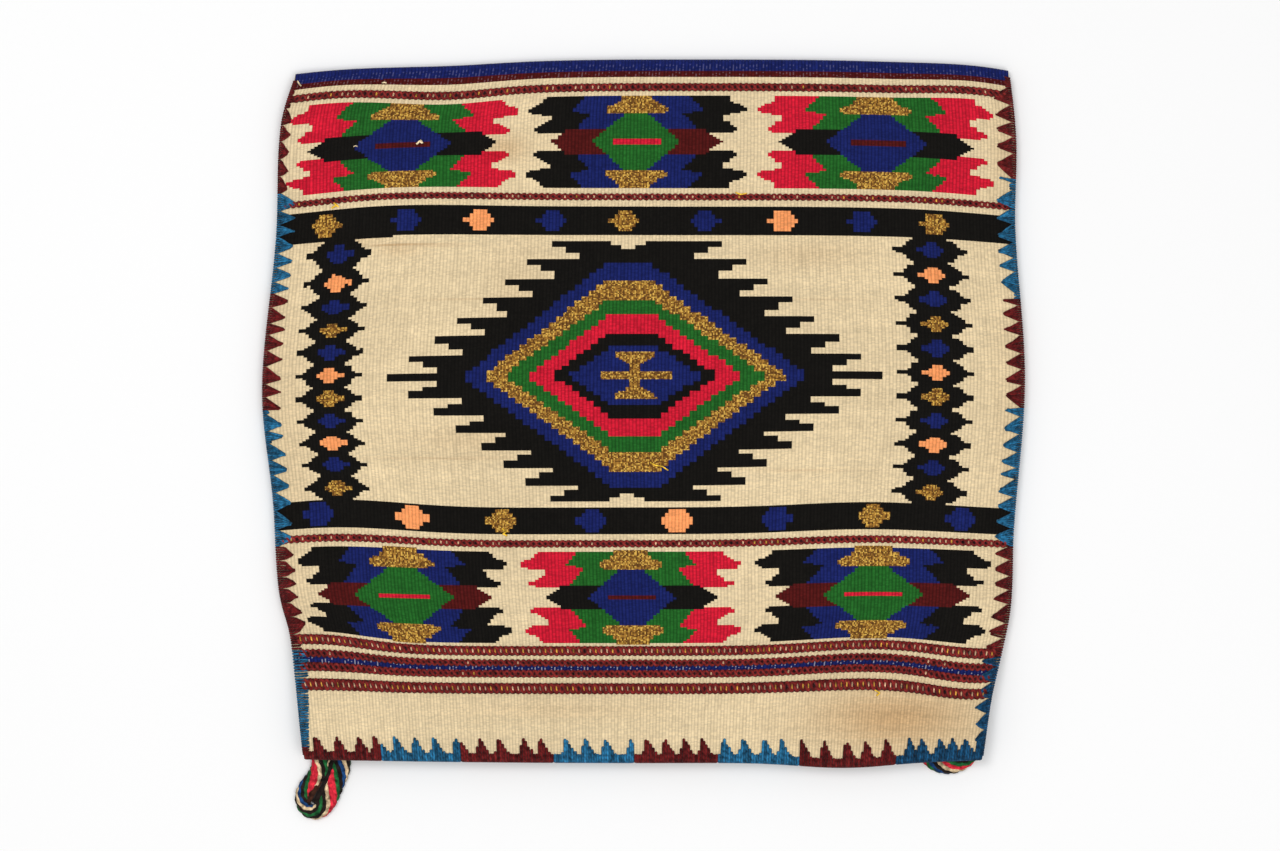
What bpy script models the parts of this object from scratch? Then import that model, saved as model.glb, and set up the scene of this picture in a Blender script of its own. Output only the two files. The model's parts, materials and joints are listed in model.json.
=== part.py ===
"""Kilim bag lying on its back: one folded flat-woven cloth, overcast side seams,
blanket-stitched mouth rims and two braided loops at the mouth corners.

Metres, +Z up. The fold is at +Y, the open mouth at -Y and the patterned front leaf faces up.
A place on a leaf is (across, down): across from the middle line, down from the fold.
"""
import math

import bpy
import bmesh
from mathutils import Vector
from mathutils.geometry import delaunay_2d_cdt

# The cloth
BAG_DEPTH = 0.3983
BELLY_WIDTH = 0.4322
CLOTH = 0.0022
FOLD_REACH = 0.0030
FOLD_GAP = 0.0015
FOLD_STEPS = 6
FOLD_DROP_LEFT = 0.0090
FOLD_DROP_RIGHT = 0.0074
MOUTH_RISE = 0.0020

# How far each side lies inside the belly width, by share of the depth
LEFT_INSETS = (
    (0.00, 0.0190), (0.08, 0.0105), (0.24, 0.0080), (0.46, 0.0000),
    (0.64, 0.0063), (0.76, 0.0095), (0.86, 0.0175), (1.00, 0.0240),
)
RIGHT_INSETS = (
    (0.00, 0.0090), (0.10, 0.0050), (0.23, 0.0055), (0.45, 0.0000),
    (0.67, 0.0063), (0.79, 0.0085), (0.90, 0.0190), (1.00, 0.0245),
)

# Pulls in the weave: across, down, reach across, reach down, shift towards the fold
PULLS = (
    (-0.180, 0.251, 0.055, 0.045, 0.0057),
    (-0.205, 0.333, 0.045, 0.020, 0.0062),
    (-0.155, 0.082, 0.075, 0.036, 0.0038),
    (-0.118, 0.020, 0.034, 0.016, -0.0026),
    (-0.190, 0.018, 0.034, 0.016, 0.0022),
    (0.137, 0.340, 0.050, 0.030, 0.0032),
    (0.202, 0.355, 0.034, 0.028, -0.0048),
    (0.195, 0.018, 0.034, 0.018, 0.0026),
    (0.132, 0.256, 0.055, 0.045, 0.0029),
    (0.130, 0.405, 0.042, 0.030, -0.0037),
)

# Yarn that binds the edges, and the clearances between neighbours
YARN = 0.0010
GAP = 0.0003
MOUTH_CLEAR = 0.0052
STITCH_ZONE = 0.0120
SEAM_START = 0.0012
SEAM_END = 0.0060
SEAM_STRIP = 0.0024
SEAM_REACH = 0.0067
RIM_STRIP = 0.0027
RIM_REACH = 0.0101
RIM_STEEP = 0.0004
RIM_FIRST = 0.0100
RIM_LAST = 0.0100

# The loops, and how far they lift the back leaf
LOOP_THICK = 0.0043
LOOP_TWIST = 0.0150
LOOP_RELIEF_SHARE = 0.10
LOOP_SIDES = 12
LOOP_STEP = 0.0030
ROUTE_STEPS = 12
STRANDS = ("red", "green", "black", "cream")
LIFT_PLATEAU = 0.0680
LIFT_RAMP = 0.0370
LIFT_DEPTH = 0.0450
LIFT_FADE = 0.0350
SIDE_FADE = 0.0250

# Heights of the pouch
POUCH_RISE_SIDE = 0.0560
POUCH_RISE_FOLD = 0.0600

# Facets: rows on the slope by the fold, by share of it, rows on the level part, and the middle
# panel's share of the level part's width
SLOPE_SHARES = (0.0, 0.22, 0.50, 1.0)
LEVEL_ROWS = 6
MIDDLE_SHARE = 0.55

# Stripes from the fold down to the field, and from the field down to the mouth
STRIPES_ABOVE = (
    ("navy", 0.0068), ("cream", 0.0006), ("maroon", 0.0029), ("cream", 0.0037),
    ("maroon", 0.0042), ("cream", 0.0028), ("cream", 0.0530), ("cream", 0.0035),
    ("maroon", 0.0029), ("cream", 0.0040), ("black", 0.0162),
)
STRIPES_BELOW = (
    ("black", 0.0152), ("cream", 0.0036), ("maroon", 0.0034), ("cream", 0.0029),
    ("cream", 0.0518), ("cream", 0.0018), ("maroon", 0.0051), ("cream", 0.0028),
    ("maroon", 0.0029), ("navy", 0.0027), ("maroon", 0.0040), ("cream", 0.0035),
    ("maroon", 0.0057), ("cream", 0.0382),
)
MOTIF_BAND = 6
MOTIF_BAND_BELOW = 4
STRIPES_BACK = (
    ("navy", 0.0068), ("cream", 0.0640), ("maroon", 0.0110), ("cream", 0.1080),
    ("navy", 0.0120), ("cream", 0.1080), ("maroon", 0.0110),
)

# The winged motif of the two bands: its places as shares of the half width, and the right
# side of each outline, from top to bottom, as shares of the motif's half width and half height
MOTIF_SHARES = (-0.6650, -0.0375, 0.6219)
MOTIF_MARGIN = 0.0057
MOTIF_HEIGHT = 0.0265
WING_SHARES = (
    (0.43, 1.00), (0.85, 1.00), (0.85, 0.83), (0.93, 0.83), (0.93, 0.72), (1.00, 0.72),
    (1.00, 0.62), (0.79, 0.62), (0.79, 0.47), (0.85, 0.47), (0.85, 0.36), (0.93, 0.36),
    (0.93, 0.25), (0.43, 0.25),
)
BODY_SHARES = ((0.50, 1.00), (0.61, 0.66), (0.43, 0.58), (0.51, 0.25))
ARM_SHARES = ((0.63, 0.25), (0.69, 0.12), (0.79, 0.00))
HEART_SHARES = ((0.105, 0.61), (0.28, 0.25), (0.39, 0.00))
CAP_SHARES = ((0.14, 1.00), (0.14, 0.86), (0.21, 0.86), (0.29, 0.70), (0.29, 0.61))
BAR_SHARES = (0.23, 0.055)

# The medallion, its rings from the outside in: half width, half height
MEDALLION_SHARE = -0.0222
MEDALLION_DOWN = 0.1800
MEDALLION_FLAT = 0.0137
MEDALLION_RINGS = (
    ("navy", 0.0985, 0.0638), ("gold", 0.0846, 0.0541), ("green", 0.0727, 0.0430),
    ("red", 0.0593, 0.0342), ("black", 0.0447, 0.0239), ("navy", 0.0365, 0.0168),
)
# The gold sign in the middle, as shares of the innermost ring: the bar and the foot's side
SIGN_BAR_SHARES = (0.55, 0.13)
SIGN_FOOT_SHARES = ((0.32, 0.78), (0.26, 0.55), (0.09, 0.45), (0.09, 0.00))

# The black fingers: how far they reach as a share of the half width, and their two steps back
FINGERS = 7
FINGER_SHARE = 0.6525
FINGER_STEP = 0.0130
FINGER_SHORT = 0.0160
FINGER_MIDDLE = 0.0080
FINGER_HEIGHT = 0.0029
FIELD_MARGIN = 0.0028
NOTCH = 0.0130
NOTCH_DEPTH = 0.0052

# Stars in the black bands: first place and pitch as shares of the half width
STARS_ABOVE = ("gold", "navy", "orange", "navy", "gold", "navy", "orange", "navy", "gold")
STARS_ABOVE_SHARES = (-0.8667, 0.2050)
STARS_BELOW = ("navy", "orange", "gold", "navy", "orange", "navy", "gold", "navy")
STARS_BELOW_SHARES = (-0.8792, 0.2480)
STAR_BLOCK = (0.0044, 0.0056)
STAR_ARM = (0.0082, 0.0028)

# The lozenge columns beside the field: half widths down one lozenge, and where they change
COLUMN_SHARES = (-0.8246, 0.7696)
COLUMN_STARS = (
    "navy", "orange", "navy", "gold", "navy", "orange", "gold", "navy", "orange", "navy", "gold",
)
LOZENGE_WIDTHS = (0.0099, 0.0142, 0.0180, 0.0142, 0.0099)
LOZENGE_SHARES = (0.0, 0.17, 0.38, 0.62, 0.83, 1.0)
LOZENGE_STAR = (0.0072, 0.0046)

# Yarn segments: colour, length and number of stitch teeth, from the fold to the mouth
LEFT_SEAM = (
    ("maroon", 0.0660, 5), ("blue", 0.0559, 7), ("maroon", 0.0673, 8),
    ("blue", 0.0758, 8), ("maroon", 0.0570, 6), ("blue", 0.0587, 0),
)
RIGHT_SEAM = (
    ("maroon", 0.0575, 5), ("blue", 0.0690, 7), ("maroon", 0.0627, 7),
    ("blue", 0.0798, 9), ("maroon", 0.0604, 7), ("blue", 0.0541, 4),
)

# Rim segments from the left corner to the right one
RIM = (
    ("maroon", 0.0445, 4), ("blue", 0.0456, 4), ("maroon", 0.0530, 5), ("blue", 0.0462, 4),
    ("maroon", 0.0479, 4), ("blue", 0.0467, 4), ("maroon", 0.0553, 5), ("blue", 0.0496, 5),
)

# Braid routes seen from above, from one sewn end round to the other: inwards from the mouth
# corner, beyond the rim, half width there
LEFT_LOOP_ROUTE = (
    (0.0086, -0.0084, 0.0052), (0.0083, 0.0021, 0.0052), (0.0054, 0.0086, 0.0051),
    (0.0001, 0.0144, 0.0044), (-0.0024, 0.0205, 0.0040), (-0.0004, 0.0265, 0.0040),
    (0.0049, 0.0288, 0.0043), (0.0103, 0.0256, 0.0050), (0.0135, 0.0194, 0.0055),
    (0.0163, 0.0125, 0.0055), (0.0193, 0.0051, 0.0055), (0.0203, -0.0017, 0.0053),
    (0.0204, -0.0104, 0.0052),
)
RIGHT_LOOP_ROUTE = (
    (0.0036, -0.0134, 0.0044), (0.0044, -0.0062, 0.0048), (0.0101, -0.0002, 0.0050),
    (0.0176, 0.0022, 0.0050), (0.0252, 0.0008, 0.0048), (0.0304, -0.0042, 0.0044),
    (0.0308, -0.0112, 0.0042), (0.0264, -0.0160, 0.0042), (0.0202, -0.0172, 0.0044),
    (0.0144, -0.0204, 0.0044),
)

HALF = BELLY_WIDTH / 2.0
BINDING = YARN + GAP
SEAM_GAP = GAP
MERGED = GAP / 30.0
ON_LINE = GAP / 20.0
TOO_NEAR = GAP / 3.0
MOTIF_WIDTH = (1.0 + MOTIF_SHARES[0]) * HALF - MOTIF_MARGIN
CORNER_GAP = 2.0 * BINDING + GAP
FRONT_HEIGHT = 3.0 * BINDING + CLOTH + MOUTH_CLEAR
LOOP_LIFT = LOOP_THICK + GAP + BINDING

COLOURS = {
    "cream": (0.694, 0.565, 0.342), "black": (0.009, 0.008, 0.008), "navy": (0.009, 0.016, 0.188),
    "maroon": (0.107, 0.007, 0.009), "red": (0.672, 0.013, 0.045), "green": (0.009, 0.174, 0.021),
    "gold": (0.342, 0.196, 0.030), "orange": (0.956, 0.305, 0.127), "blue": (0.013, 0.144, 0.402),
}


def rise(distance, width):
    """A smooth step from 0 to 1 over a width."""
    share = min(max(distance / width, 0.0), 1.0)
    return share * share * (3.0 - 2.0 * share)


def smooth_value(points, place):
    """Height of the smooth curve through (place, height) points."""
    last = len(points) - 2
    index = 0
    while index < last and points[index + 1][0] < place:
        index += 1
    (x0, y0), (x1, y1) = points[index], points[index + 1]
    before = points[max(index - 1, 0)]
    after = points[min(index + 2, len(points) - 1)]
    slope0 = (y1 - before[1]) / (x1 - before[0])
    slope1 = (after[1] - y0) / (after[0] - x0)
    t = (place - x0) / (x1 - x0)
    width = x1 - x0
    return (
        (2 * t ** 3 - 3 * t ** 2 + 1) * y0 + (t ** 3 - 2 * t ** 2 + t) * width * slope0
        + (3 * t ** 2 - 2 * t ** 3) * y1 + (t ** 3 - t ** 2) * width * slope1
    )


def plan(across, down):
    """Where a place on the cloth lies seen from above."""
    share = down / BAG_DEPTH
    left = -HALF + smooth_value(LEFT_INSETS, share)
    right = HALF - smooth_value(RIGHT_INSETS, share)
    side = across / HALF
    x = (left + right) / 2.0 + side * (right - left) / 2.0
    drop = FOLD_DROP_LEFT * side ** 2 if side < 0.0 else FOLD_DROP_RIGHT * side ** 4
    mouth = -BAG_DEPTH + MOUTH_RISE * side ** 2
    y = -drop + (mouth + drop) * share
    for centre, depth, reach, reach_down, shift in PULLS:
        y += shift * math.exp(-((across - centre) / reach) ** 2 - ((down - depth) / reach_down) ** 2)
    return x, y


def back_height(across, down):
    """Height of the back leaf's under side: flat on the ground, lifted by yarn and loops."""
    from_side = HALF - abs(across)
    from_mouth = BAG_DEPTH - down
    side = 1.0 - rise(from_side - STITCH_ZONE, SIDE_FADE)
    mouth = 1.0 - rise(from_mouth - STITCH_ZONE, SIDE_FADE)
    loop = 1.0 - rise(from_side - LIFT_PLATEAU, LIFT_RAMP)
    loop *= 1.0 - rise(from_mouth - LIFT_DEPTH, LIFT_FADE)
    return max(BINDING * side, BINDING * mouth, LOOP_LIFT * loop)


def front_height(across, down):
    """Height of the front leaf's under side: the pouch bulges off the back leaf."""
    from_side = HALF - abs(across)
    from_mouth = BAG_DEPTH - down
    corner = 1.0 - rise(from_mouth - STITCH_ZONE, LIFT_DEPTH - STITCH_ZONE)
    seam = back_height(across, down) + CLOTH + SEAM_GAP + (CORNER_GAP - SEAM_GAP) * corner
    bulge = rise(from_side - STITCH_ZONE, POUCH_RISE_SIDE) * rise(down - FOLD_REACH, POUCH_RISE_FOLD)
    low = CLOTH + FOLD_GAP
    return max(seam, low + (FRONT_HEIGHT - low) * bulge)


def leaf_columns():
    """Where the leaf's facets meet, across."""
    insets = (0.0, STITCH_ZONE, STITCH_ZONE + SIDE_FADE, LIFT_PLATEAU, LIFT_PLATEAU + LIFT_RAMP)
    outer = [HALF - inset for inset in insets]
    inner = outer[-1] * MIDDLE_SHARE
    right = [0.0, inner] + outer[::-1]
    return [-place for place in right[:0:-1]] + right


def leaf_rows():
    """Where the leaf's facets meet, from the fold down."""
    near_fold = [FOLD_REACH + POUCH_RISE_FOLD * share for share in SLOPE_SHARES]
    near_mouth = [LIFT_DEPTH + LIFT_FADE, LIFT_DEPTH, STITCH_ZONE, 0.0]
    low = [BAG_DEPTH - distance for distance in near_mouth]
    start = near_fold[-1]
    middle = [start + (low[0] - start) * step / LEVEL_ROWS for step in range(1, LEVEL_ROWS)]
    return near_fold + middle + low


COLUMNS = leaf_columns()
ROWS = leaf_rows()


class Surface:
    """One face of a leaf: flat facets between the rows and columns."""

    def __init__(self, height, offset):
        self.nodes = [
            [Vector((*plan(across, down), height(across, down) + offset)) for across in COLUMNS]
            for down in ROWS
        ]

    def point(self, across, down):
        column = cell_index(COLUMNS, across)
        row = cell_index(ROWS, down)
        fu = (across - COLUMNS[column]) / (COLUMNS[column + 1] - COLUMNS[column])
        fd = (down - ROWS[row]) / (ROWS[row + 1] - ROWS[row])
        p00 = self.nodes[row][column]
        p10 = self.nodes[row][column + 1]
        p01 = self.nodes[row + 1][column]
        p11 = self.nodes[row + 1][column + 1]
        if fu >= fd:
            return p00 + (p10 - p00) * fu + (p11 - p10) * fd
        return p00 + (p01 - p00) * fd + (p11 - p01) * fu


def cell_index(lines, place):
    """Which cell between the lines holds a place."""
    index = 0
    while index < len(lines) - 2 and lines[index + 1] <= place:
        index += 1
    return index


def material(name):
    """A woollen yarn of one colour."""
    found = bpy.data.materials.get("wool_" + name)
    if found:
        return found
    made = bpy.data.materials.new("wool_" + name)
    made.use_nodes = True
    shader = made.node_tree.nodes["Principled BSDF"]
    shader.inputs["Base Color"].default_value = (*COLOURS[name], 1.0)
    shader.inputs["Roughness"].default_value = 0.9
    shader.inputs["Metallic"].default_value = 0.0
    made.diffuse_color = (*COLOURS[name], 1.0)
    return made


def add_object(name, points, faces, colours):
    """An object from points and faces, each face with its yarn colour."""
    names = sorted(set(colours))
    mesh = bpy.data.meshes.new(name)
    mesh.from_pydata([tuple(point) for point in points], [], faces)
    for colour in names:
        mesh.materials.append(material(colour))
    for face, colour in zip(mesh.polygons, colours):
        face.material_index = names.index(colour)
    work = bmesh.new()
    work.from_mesh(mesh)
    bmesh.ops.recalc_face_normals(work, faces=work.faces)
    work.to_mesh(mesh)
    work.free()
    made = bpy.data.objects.new(name, mesh)
    bpy.context.collection.objects.link(made)
    return made


def box_outline(across, down, half_width, half_height):
    """A rectangle about a place."""
    return [
        (across - half_width, down - half_height), (across + half_width, down - half_height),
        (across + half_width, down + half_height), (across - half_width, down + half_height),
    ]


def whole_outline(side, across, down, width, height):
    """A figure that is alike left and right and up and down, from its upper right side."""
    right = [(x * width, -y * height) for x, y in side]
    right += [(x, -y) for x, y in right[::-1] if y != 0.0]
    return [(across + x, down + y) for x, y in right + [(-x, y) for x, y in right[::-1]]]


def star_outline(across, down, block, arm):
    """A block with two side arms."""
    (block_width, block_height), (arm_width, arm_height) = block, arm
    side = ((block_width, block_height), (block_width, arm_height), (arm_width, arm_height))
    return whole_outline(side, across, down, 1.0, 1.0)


def stripe_lines():
    """The field's upper and lower limit, and each stripe as (colour, start, end)."""
    lines = []
    place = 0.0
    for colour, width in STRIPES_ABOVE:
        lines.append((colour, place, place + width))
        place += width
    field_top = place
    place = BAG_DEPTH
    below = []
    for colour, width in STRIPES_BELOW[::-1]:
        below.append((colour, place - width, place))
        place -= width
    return field_top, place, lines, below[::-1]


FIELD_TOP, FIELD_END, LINES_ABOVE, LINES_BELOW = stripe_lines()


def stripe_fields():
    """The stripes of the front leaf."""
    fields = []
    for colour, start, end in LINES_ABOVE + LINES_BELOW:
        start = max(start, ROWS[0])
        if colour != "cream" and end > start:
            middle = (start + end) / 2.0
            fields.append((box_outline(0.0, middle, HALF, (end - start) / 2.0), colour))
    return fields


def back_fields():
    """The plain stripes of the back leaf."""
    fields = []
    place = 0.0
    for colour, width in STRIPES_BACK:
        start = max(place, ROWS[0])
        place += width
        if colour != "cream":
            fields.append((box_outline(0.0, (start + place) / 2.0, HALF, (place - start) / 2.0), colour))
    return fields


def winged_motif(across, down, wing, body, arm, heart, bar):
    """The stepped motif: gold caps, diamond heart, arms and two pairs of wings."""
    width = MOTIF_WIDTH
    height = MOTIF_HEIGHT
    fields = []
    for side in (-1.0, 1.0):
        half = [(across + side * x * width, down - y * height) for x, y in WING_SHARES]
        half += [(x, 2.0 * down - y) for x, y in half[::-1]]
        fields.append((half, wing))
    for outline, colour in ((BODY_SHARES, body), (ARM_SHARES, arm), (HEART_SHARES, heart)):
        fields.append((whole_outline(outline, across, down, width, height), colour))
    for way in (-1.0, 1.0):
        right = [(x * width, down + way * y * height) for x, y in CAP_SHARES]
        outline = right + [(-x, y) for x, y in right[::-1]]
        fields.append(([(across + x, y) for x, y in outline], "gold"))
    fields.append((box_outline(across, down, BAR_SHARES[0] * width, BAR_SHARES[1] * height), bar))
    return fields


def hexagon(across, down, half_width, flat, half_height):
    """A lozenge with flat ends above and below."""
    return [
        (across - half_width, down), (across - flat, down - half_height),
        (across + flat, down - half_height), (across + half_width, down),
        (across + flat, down + half_height), (across - flat, down + half_height),
    ]


def fingered_outline(across, down, up, low):
    """The black body of the medallion: fingers that recede in steps from the middle row."""
    middle = FINGER_HEIGHT / 2.0
    tip = FINGER_SHARE * HALF
    right_low = [(tip, middle)]
    right_up = [(tip, -middle)]
    for half, total, sign in ((right_low, low, 1.0), (right_up, up, -1.0)):
        pitch = (total - middle) / FINGERS
        third = (pitch - FINGER_HEIGHT) / 2.0
        place = middle
        for finger in range(1, FINGERS + 1):
            root = tip - FINGER_STEP * finger
            steps = ((root - FINGER_SHORT, third), (root - FINGER_MIDDLE, third), (root, FINGER_HEIGHT))
            for width, height in steps:
                half.append((width, sign * place))
                place += height
                half.append((width, sign * place))
        half.append((NOTCH, sign * place))
    right = right_up[::-1] + right_low
    left = [(-x, y) for x, y in right[::-1]]
    return [(across + x, down + y) for x, y in right + left]


def medallion():
    """The black fingered body, its nested rings and the gold sign in the middle."""
    across = MEDALLION_SHARE * HALF
    down = MEDALLION_DOWN
    up = down - FIELD_TOP - FIELD_MARGIN
    low = FIELD_END - FIELD_MARGIN - down
    fields = [(fingered_outline(across, down, up, low), "black")]
    for sign, reach in ((-1.0, up), (1.0, low)):
        edge = down + sign * reach
        notch = [(across - NOTCH, edge), (across, edge - sign * NOTCH_DEPTH), (across + NOTCH, edge)]
        fields.append((notch, "cream"))
    for colour, half_width, half_height in MEDALLION_RINGS:
        fields.append((hexagon(across, down, half_width, MEDALLION_FLAT, half_height), colour))
    inner_width, inner_height = MEDALLION_RINGS[-1][1:]
    bar_width, bar_height = SIGN_BAR_SHARES
    fields.append((box_outline(across, down, bar_width * inner_width, bar_height * inner_height), "gold"))
    fields.append((whole_outline(SIGN_FOOT_SHARES, across, down, inner_width, inner_height), "gold"))
    return fields


def lozenge_column(across):
    """A column of black stepped lozenges, each with a coloured star."""
    pitch = (FIELD_END - FIELD_TOP) / len(COLUMN_STARS)
    right = []
    for index in range(len(COLUMN_STARS)):
        top = FIELD_TOP + index * pitch
        for width, start, end in zip(LOZENGE_WIDTHS, LOZENGE_SHARES, LOZENGE_SHARES[1:]):
            right.append((width, top + start * pitch))
            right.append((width, top + end * pitch))
    neat = [point for number, point in enumerate(right) if number == 0 or point != right[number - 1]]
    outline = [(across + x, y) for x, y in neat] + [(across - x, y) for x, y in neat[::-1]]
    fields = [(outline, "black")]
    half_width, half_height = LOZENGE_STAR
    for index, colour in enumerate(COLUMN_STARS):
        down = FIELD_TOP + (index + 0.5) * pitch
        fields.append((hexagon(across, down, half_width, 0.0, half_height), colour))
    return fields


def front_fields():
    """Every field of colour on the front leaf, later ones over earlier ones."""
    fields = stripe_fields()
    for share in COLUMN_SHARES:
        fields += lozenge_column(share * HALF)
    fields += medallion()
    rows = (
        (LINES_ABOVE[-1], STARS_ABOVE_SHARES, STARS_ABOVE),
        (LINES_BELOW[0], STARS_BELOW_SHARES, STARS_BELOW),
    )
    for stripe, (first, pitch), colours in rows:
        down = (stripe[1] + stripe[2]) / 2.0
        for index, colour in enumerate(colours):
            across = (first + pitch * index) * HALF
            fields.append((star_outline(across, down, STAR_BLOCK, STAR_ARM), colour))
    bands = (LINES_ABOVE[MOTIF_BAND], LINES_BELOW[MOTIF_BAND_BELOW])
    first_way = ("red", "green", "black", "navy", "maroon")
    second_way = ("black", "navy", "maroon", "green", "red")
    for row, band in enumerate(bands):
        down = (band[1] + band[2]) / 2.0
        for column, share in enumerate(MOTIF_SHARES):
            way = first_way if (row + column) % 2 == 0 else second_way
            fields += winged_motif(share * HALF, down, *way)
    return fields


def turned_left(outline):
    """The outline, run so that its inside lies to the left."""
    ends = outline[1:] + outline[:1]
    area = sum(x0 * y1 - x1 * y0 for (x0, y0), (x1, y1) in zip(outline, ends))
    return outline if area > 0.0 else outline[::-1]


def painted_leaf(surface, fields, ground):
    """Triangles of a leaf's outer face, cut along its facets and its fields of colour."""
    points = []
    edges = []
    polygons = []

    def add(place):
        points.append(Vector(place))
        return len(points) - 1

    grid = [[add((across, down)) for across in COLUMNS] for down in ROWS]
    for row in range(len(ROWS)):
        for column in range(len(COLUMNS)):
            if column + 1 < len(COLUMNS):
                edges.append((grid[row][column], grid[row][column + 1]))
            if row + 1 < len(ROWS):
                edges.append((grid[row][column], grid[row + 1][column]))
            if column + 1 < len(COLUMNS) and row + 1 < len(ROWS):
                edges.append((grid[row][column], grid[row + 1][column + 1]))
    for outline, _ in fields:
        polygons.append([add(place) for place in turned_left(outline)])
    flat, _, faces, _, _, owners = delaunay_2d_cdt(points, edges, polygons, 0, MERGED)
    colours = [fields[max(owner)][1] if owner else ground for owner in owners]
    lifted = [surface.point(place.x, place.y) for place in flat]
    return flat, lifted, [list(face) for face in faces], colours


class Skin:
    """The points and coloured faces of one closed body, gathered piece by piece."""

    def __init__(self):
        self.points = []
        self.faces = []
        self.colours = []

    def put(self, place):
        self.points.append(place)
        return len(self.points) - 1

    def add(self, face, colour):
        self.faces.append(face)
        self.colours.append(colour)

    def lining(self, surface):
        """A leaf's plain inner face, as a grid of point numbers."""
        grid = [[self.put(node) for node in row] for row in surface.nodes]
        for upper, lower in zip(grid, grid[1:]):
            for column in range(len(COLUMNS) - 1):
                self.add([upper[column], upper[column + 1], lower[column + 1]], "cream")
                self.add([upper[column], lower[column + 1], lower[column]], "cream")
        return grid

    def painted(self, surface, fields):
        """A leaf's patterned outer face, as its borders: left, right, fold and mouth."""
        flat, lifted, triangles, paint = painted_leaf(surface, fields, "cream")
        base = len(self.points)
        self.points += lifted
        for triangle, colour in zip(triangles, paint):
            self.add([base + index for index in triangle], colour)
        borders = []
        for axis, line in ((0, COLUMNS[0]), (0, COLUMNS[-1]), (1, ROWS[0]), (1, ROWS[-1])):
            on_line = [index for index, place in enumerate(flat) if abs(place[axis] - line) < ON_LINE]
            on_line.sort(key=lambda index: flat[index][1 - axis])
            borders.append([(base + index, flat[index][1 - axis]) for index in on_line])
        return borders

    def strip(self, first, second):
        """Joins two lines of (point, place) that run the same way but may differ in number."""
        i = 0
        j = 0
        while i < len(first) - 1 or j < len(second) - 1:
            if j == len(second) - 1:
                step_first = True
            elif i == len(first) - 1:
                step_first = False
            else:
                step_first = first[i + 1][1] <= second[j + 1][1]
            if step_first:
                self.add([first[i][0], first[i + 1][0], second[j][0]], "cream")
                i += 1
            else:
                self.add([first[i][0], second[j + 1][0], second[j][0]], "cream")
                j += 1

    def ladder(self, lines, colour):
        """Four-sided faces between lines of equally many points."""
        for one, two in zip(lines, lines[1:]):
            for index in range(len(one) - 1):
                self.add([one[index], one[index + 1], two[index + 1], two[index]], colour)


def fold_lines(skin, fronts, backs, reach, inset):
    """The lines of points round the fold, between the front leaf's edge and the back leaf's."""
    lines = []
    for step in range(1, FOLD_STEPS):
        turn = math.pi * step / FOLD_STEPS
        line = []
        for front, back in zip(fronts, backs):
            middle = (front.z + back.z) / 2.0
            half = (front.z - back.z) / 2.0 - inset
            y = front.y + reach * math.sin(turn)
            line.append(skin.put(Vector((front.x, y, middle + half * math.cos(turn)))))
        lines.append(line)
    return lines


def kilim_cloth():
    """The folded cloth, as one closed solid."""
    outer_front = Surface(front_height, CLOTH)
    outer_back = Surface(back_height, 0.0)
    skin = Skin()
    front_borders = skin.painted(outer_front, front_fields())
    back_borders = skin.painted(outer_back, back_fields())
    front_grid = skin.lining(Surface(front_height, 0.0))
    back_grid = skin.lining(Surface(back_height, CLOTH))
    for borders, grid in ((front_borders, front_grid), (back_borders, back_grid)):
        left, right, _, mouth = borders
        skin.strip(left, list(zip([row[0] for row in grid], ROWS)))
        skin.strip(right, list(zip([row[-1] for row in grid], ROWS)))
        skin.strip(mouth, list(zip(grid[-1], COLUMNS)))
    fronts = outer_front.nodes[0]
    backs = outer_back.nodes[0]
    outer = fold_lines(skin, fronts, backs, FOLD_REACH, 0.0)
    outer = [[point for point, _ in front_borders[2]]] + outer + [[point for point, _ in back_borders[2]]]
    inner = fold_lines(skin, fronts, backs, FOLD_REACH - CLOTH, CLOTH)
    inner = [front_grid[0]] + inner + [back_grid[0]]
    skin.ladder(outer, "navy")
    skin.ladder(inner, "cream")
    for side in (0, -1):
        skin.ladder([[out[side], lined[side]] for out, lined in zip(outer, inner)], "navy")
    return add_object("kilim_cloth", skin.points, skin.faces, skin.colours)


def channel(name, rings, colour):
    """A closed body through rings of points, with flat ends."""
    points = [point for ring in rings for point in ring]
    count = len(rings[0])
    faces = []
    for step in range(len(rings) - 1):
        base = step * count
        for index in range(count):
            after = (index + 1) % count
            faces.append([base + index, base + after, base + count + after, base + count + index])
    faces.append(list(range(count)))
    last = (len(rings) - 1) * count
    faces.append([last + index for index in range(count)])
    return add_object(name, points, faces, [colour] * len(faces))


def bracket_ring(top_in, top_edge, under_edge, under_in, outward):
    """The C section of edge yarn: over the top face, round the edge and under the lower face."""
    up = Vector((0.0, 0.0, 1.0))
    near = outward * GAP
    far = outward * BINDING
    return [
        top_in + up * BINDING, top_in + up * GAP, top_edge + near + up * GAP,
        under_edge + near - up * GAP, under_in - up * GAP, under_in - up * BINDING,
        under_edge + far - up * BINDING, top_edge + far + up * BINDING,
    ]


def with_creases(stations, lines):
    """Adds a station wherever the cloth's facets meet, so that the yarn hugs them."""
    places = [place for place, _ in stations]
    full = list(stations)
    for line in lines:
        nearest = min(abs(line - place) for place in places)
        if nearest < TOO_NEAR or not places[0] + GAP < line < places[-1] - GAP:
            continue
        index = max(number for number, place in enumerate(places) if place < line)
        share = (line - places[index]) / (places[index + 1] - places[index])
        reach = stations[index][1] + (stations[index + 1][1] - stations[index][1]) * share
        full.append((line, reach))
    return sorted(full)


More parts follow.
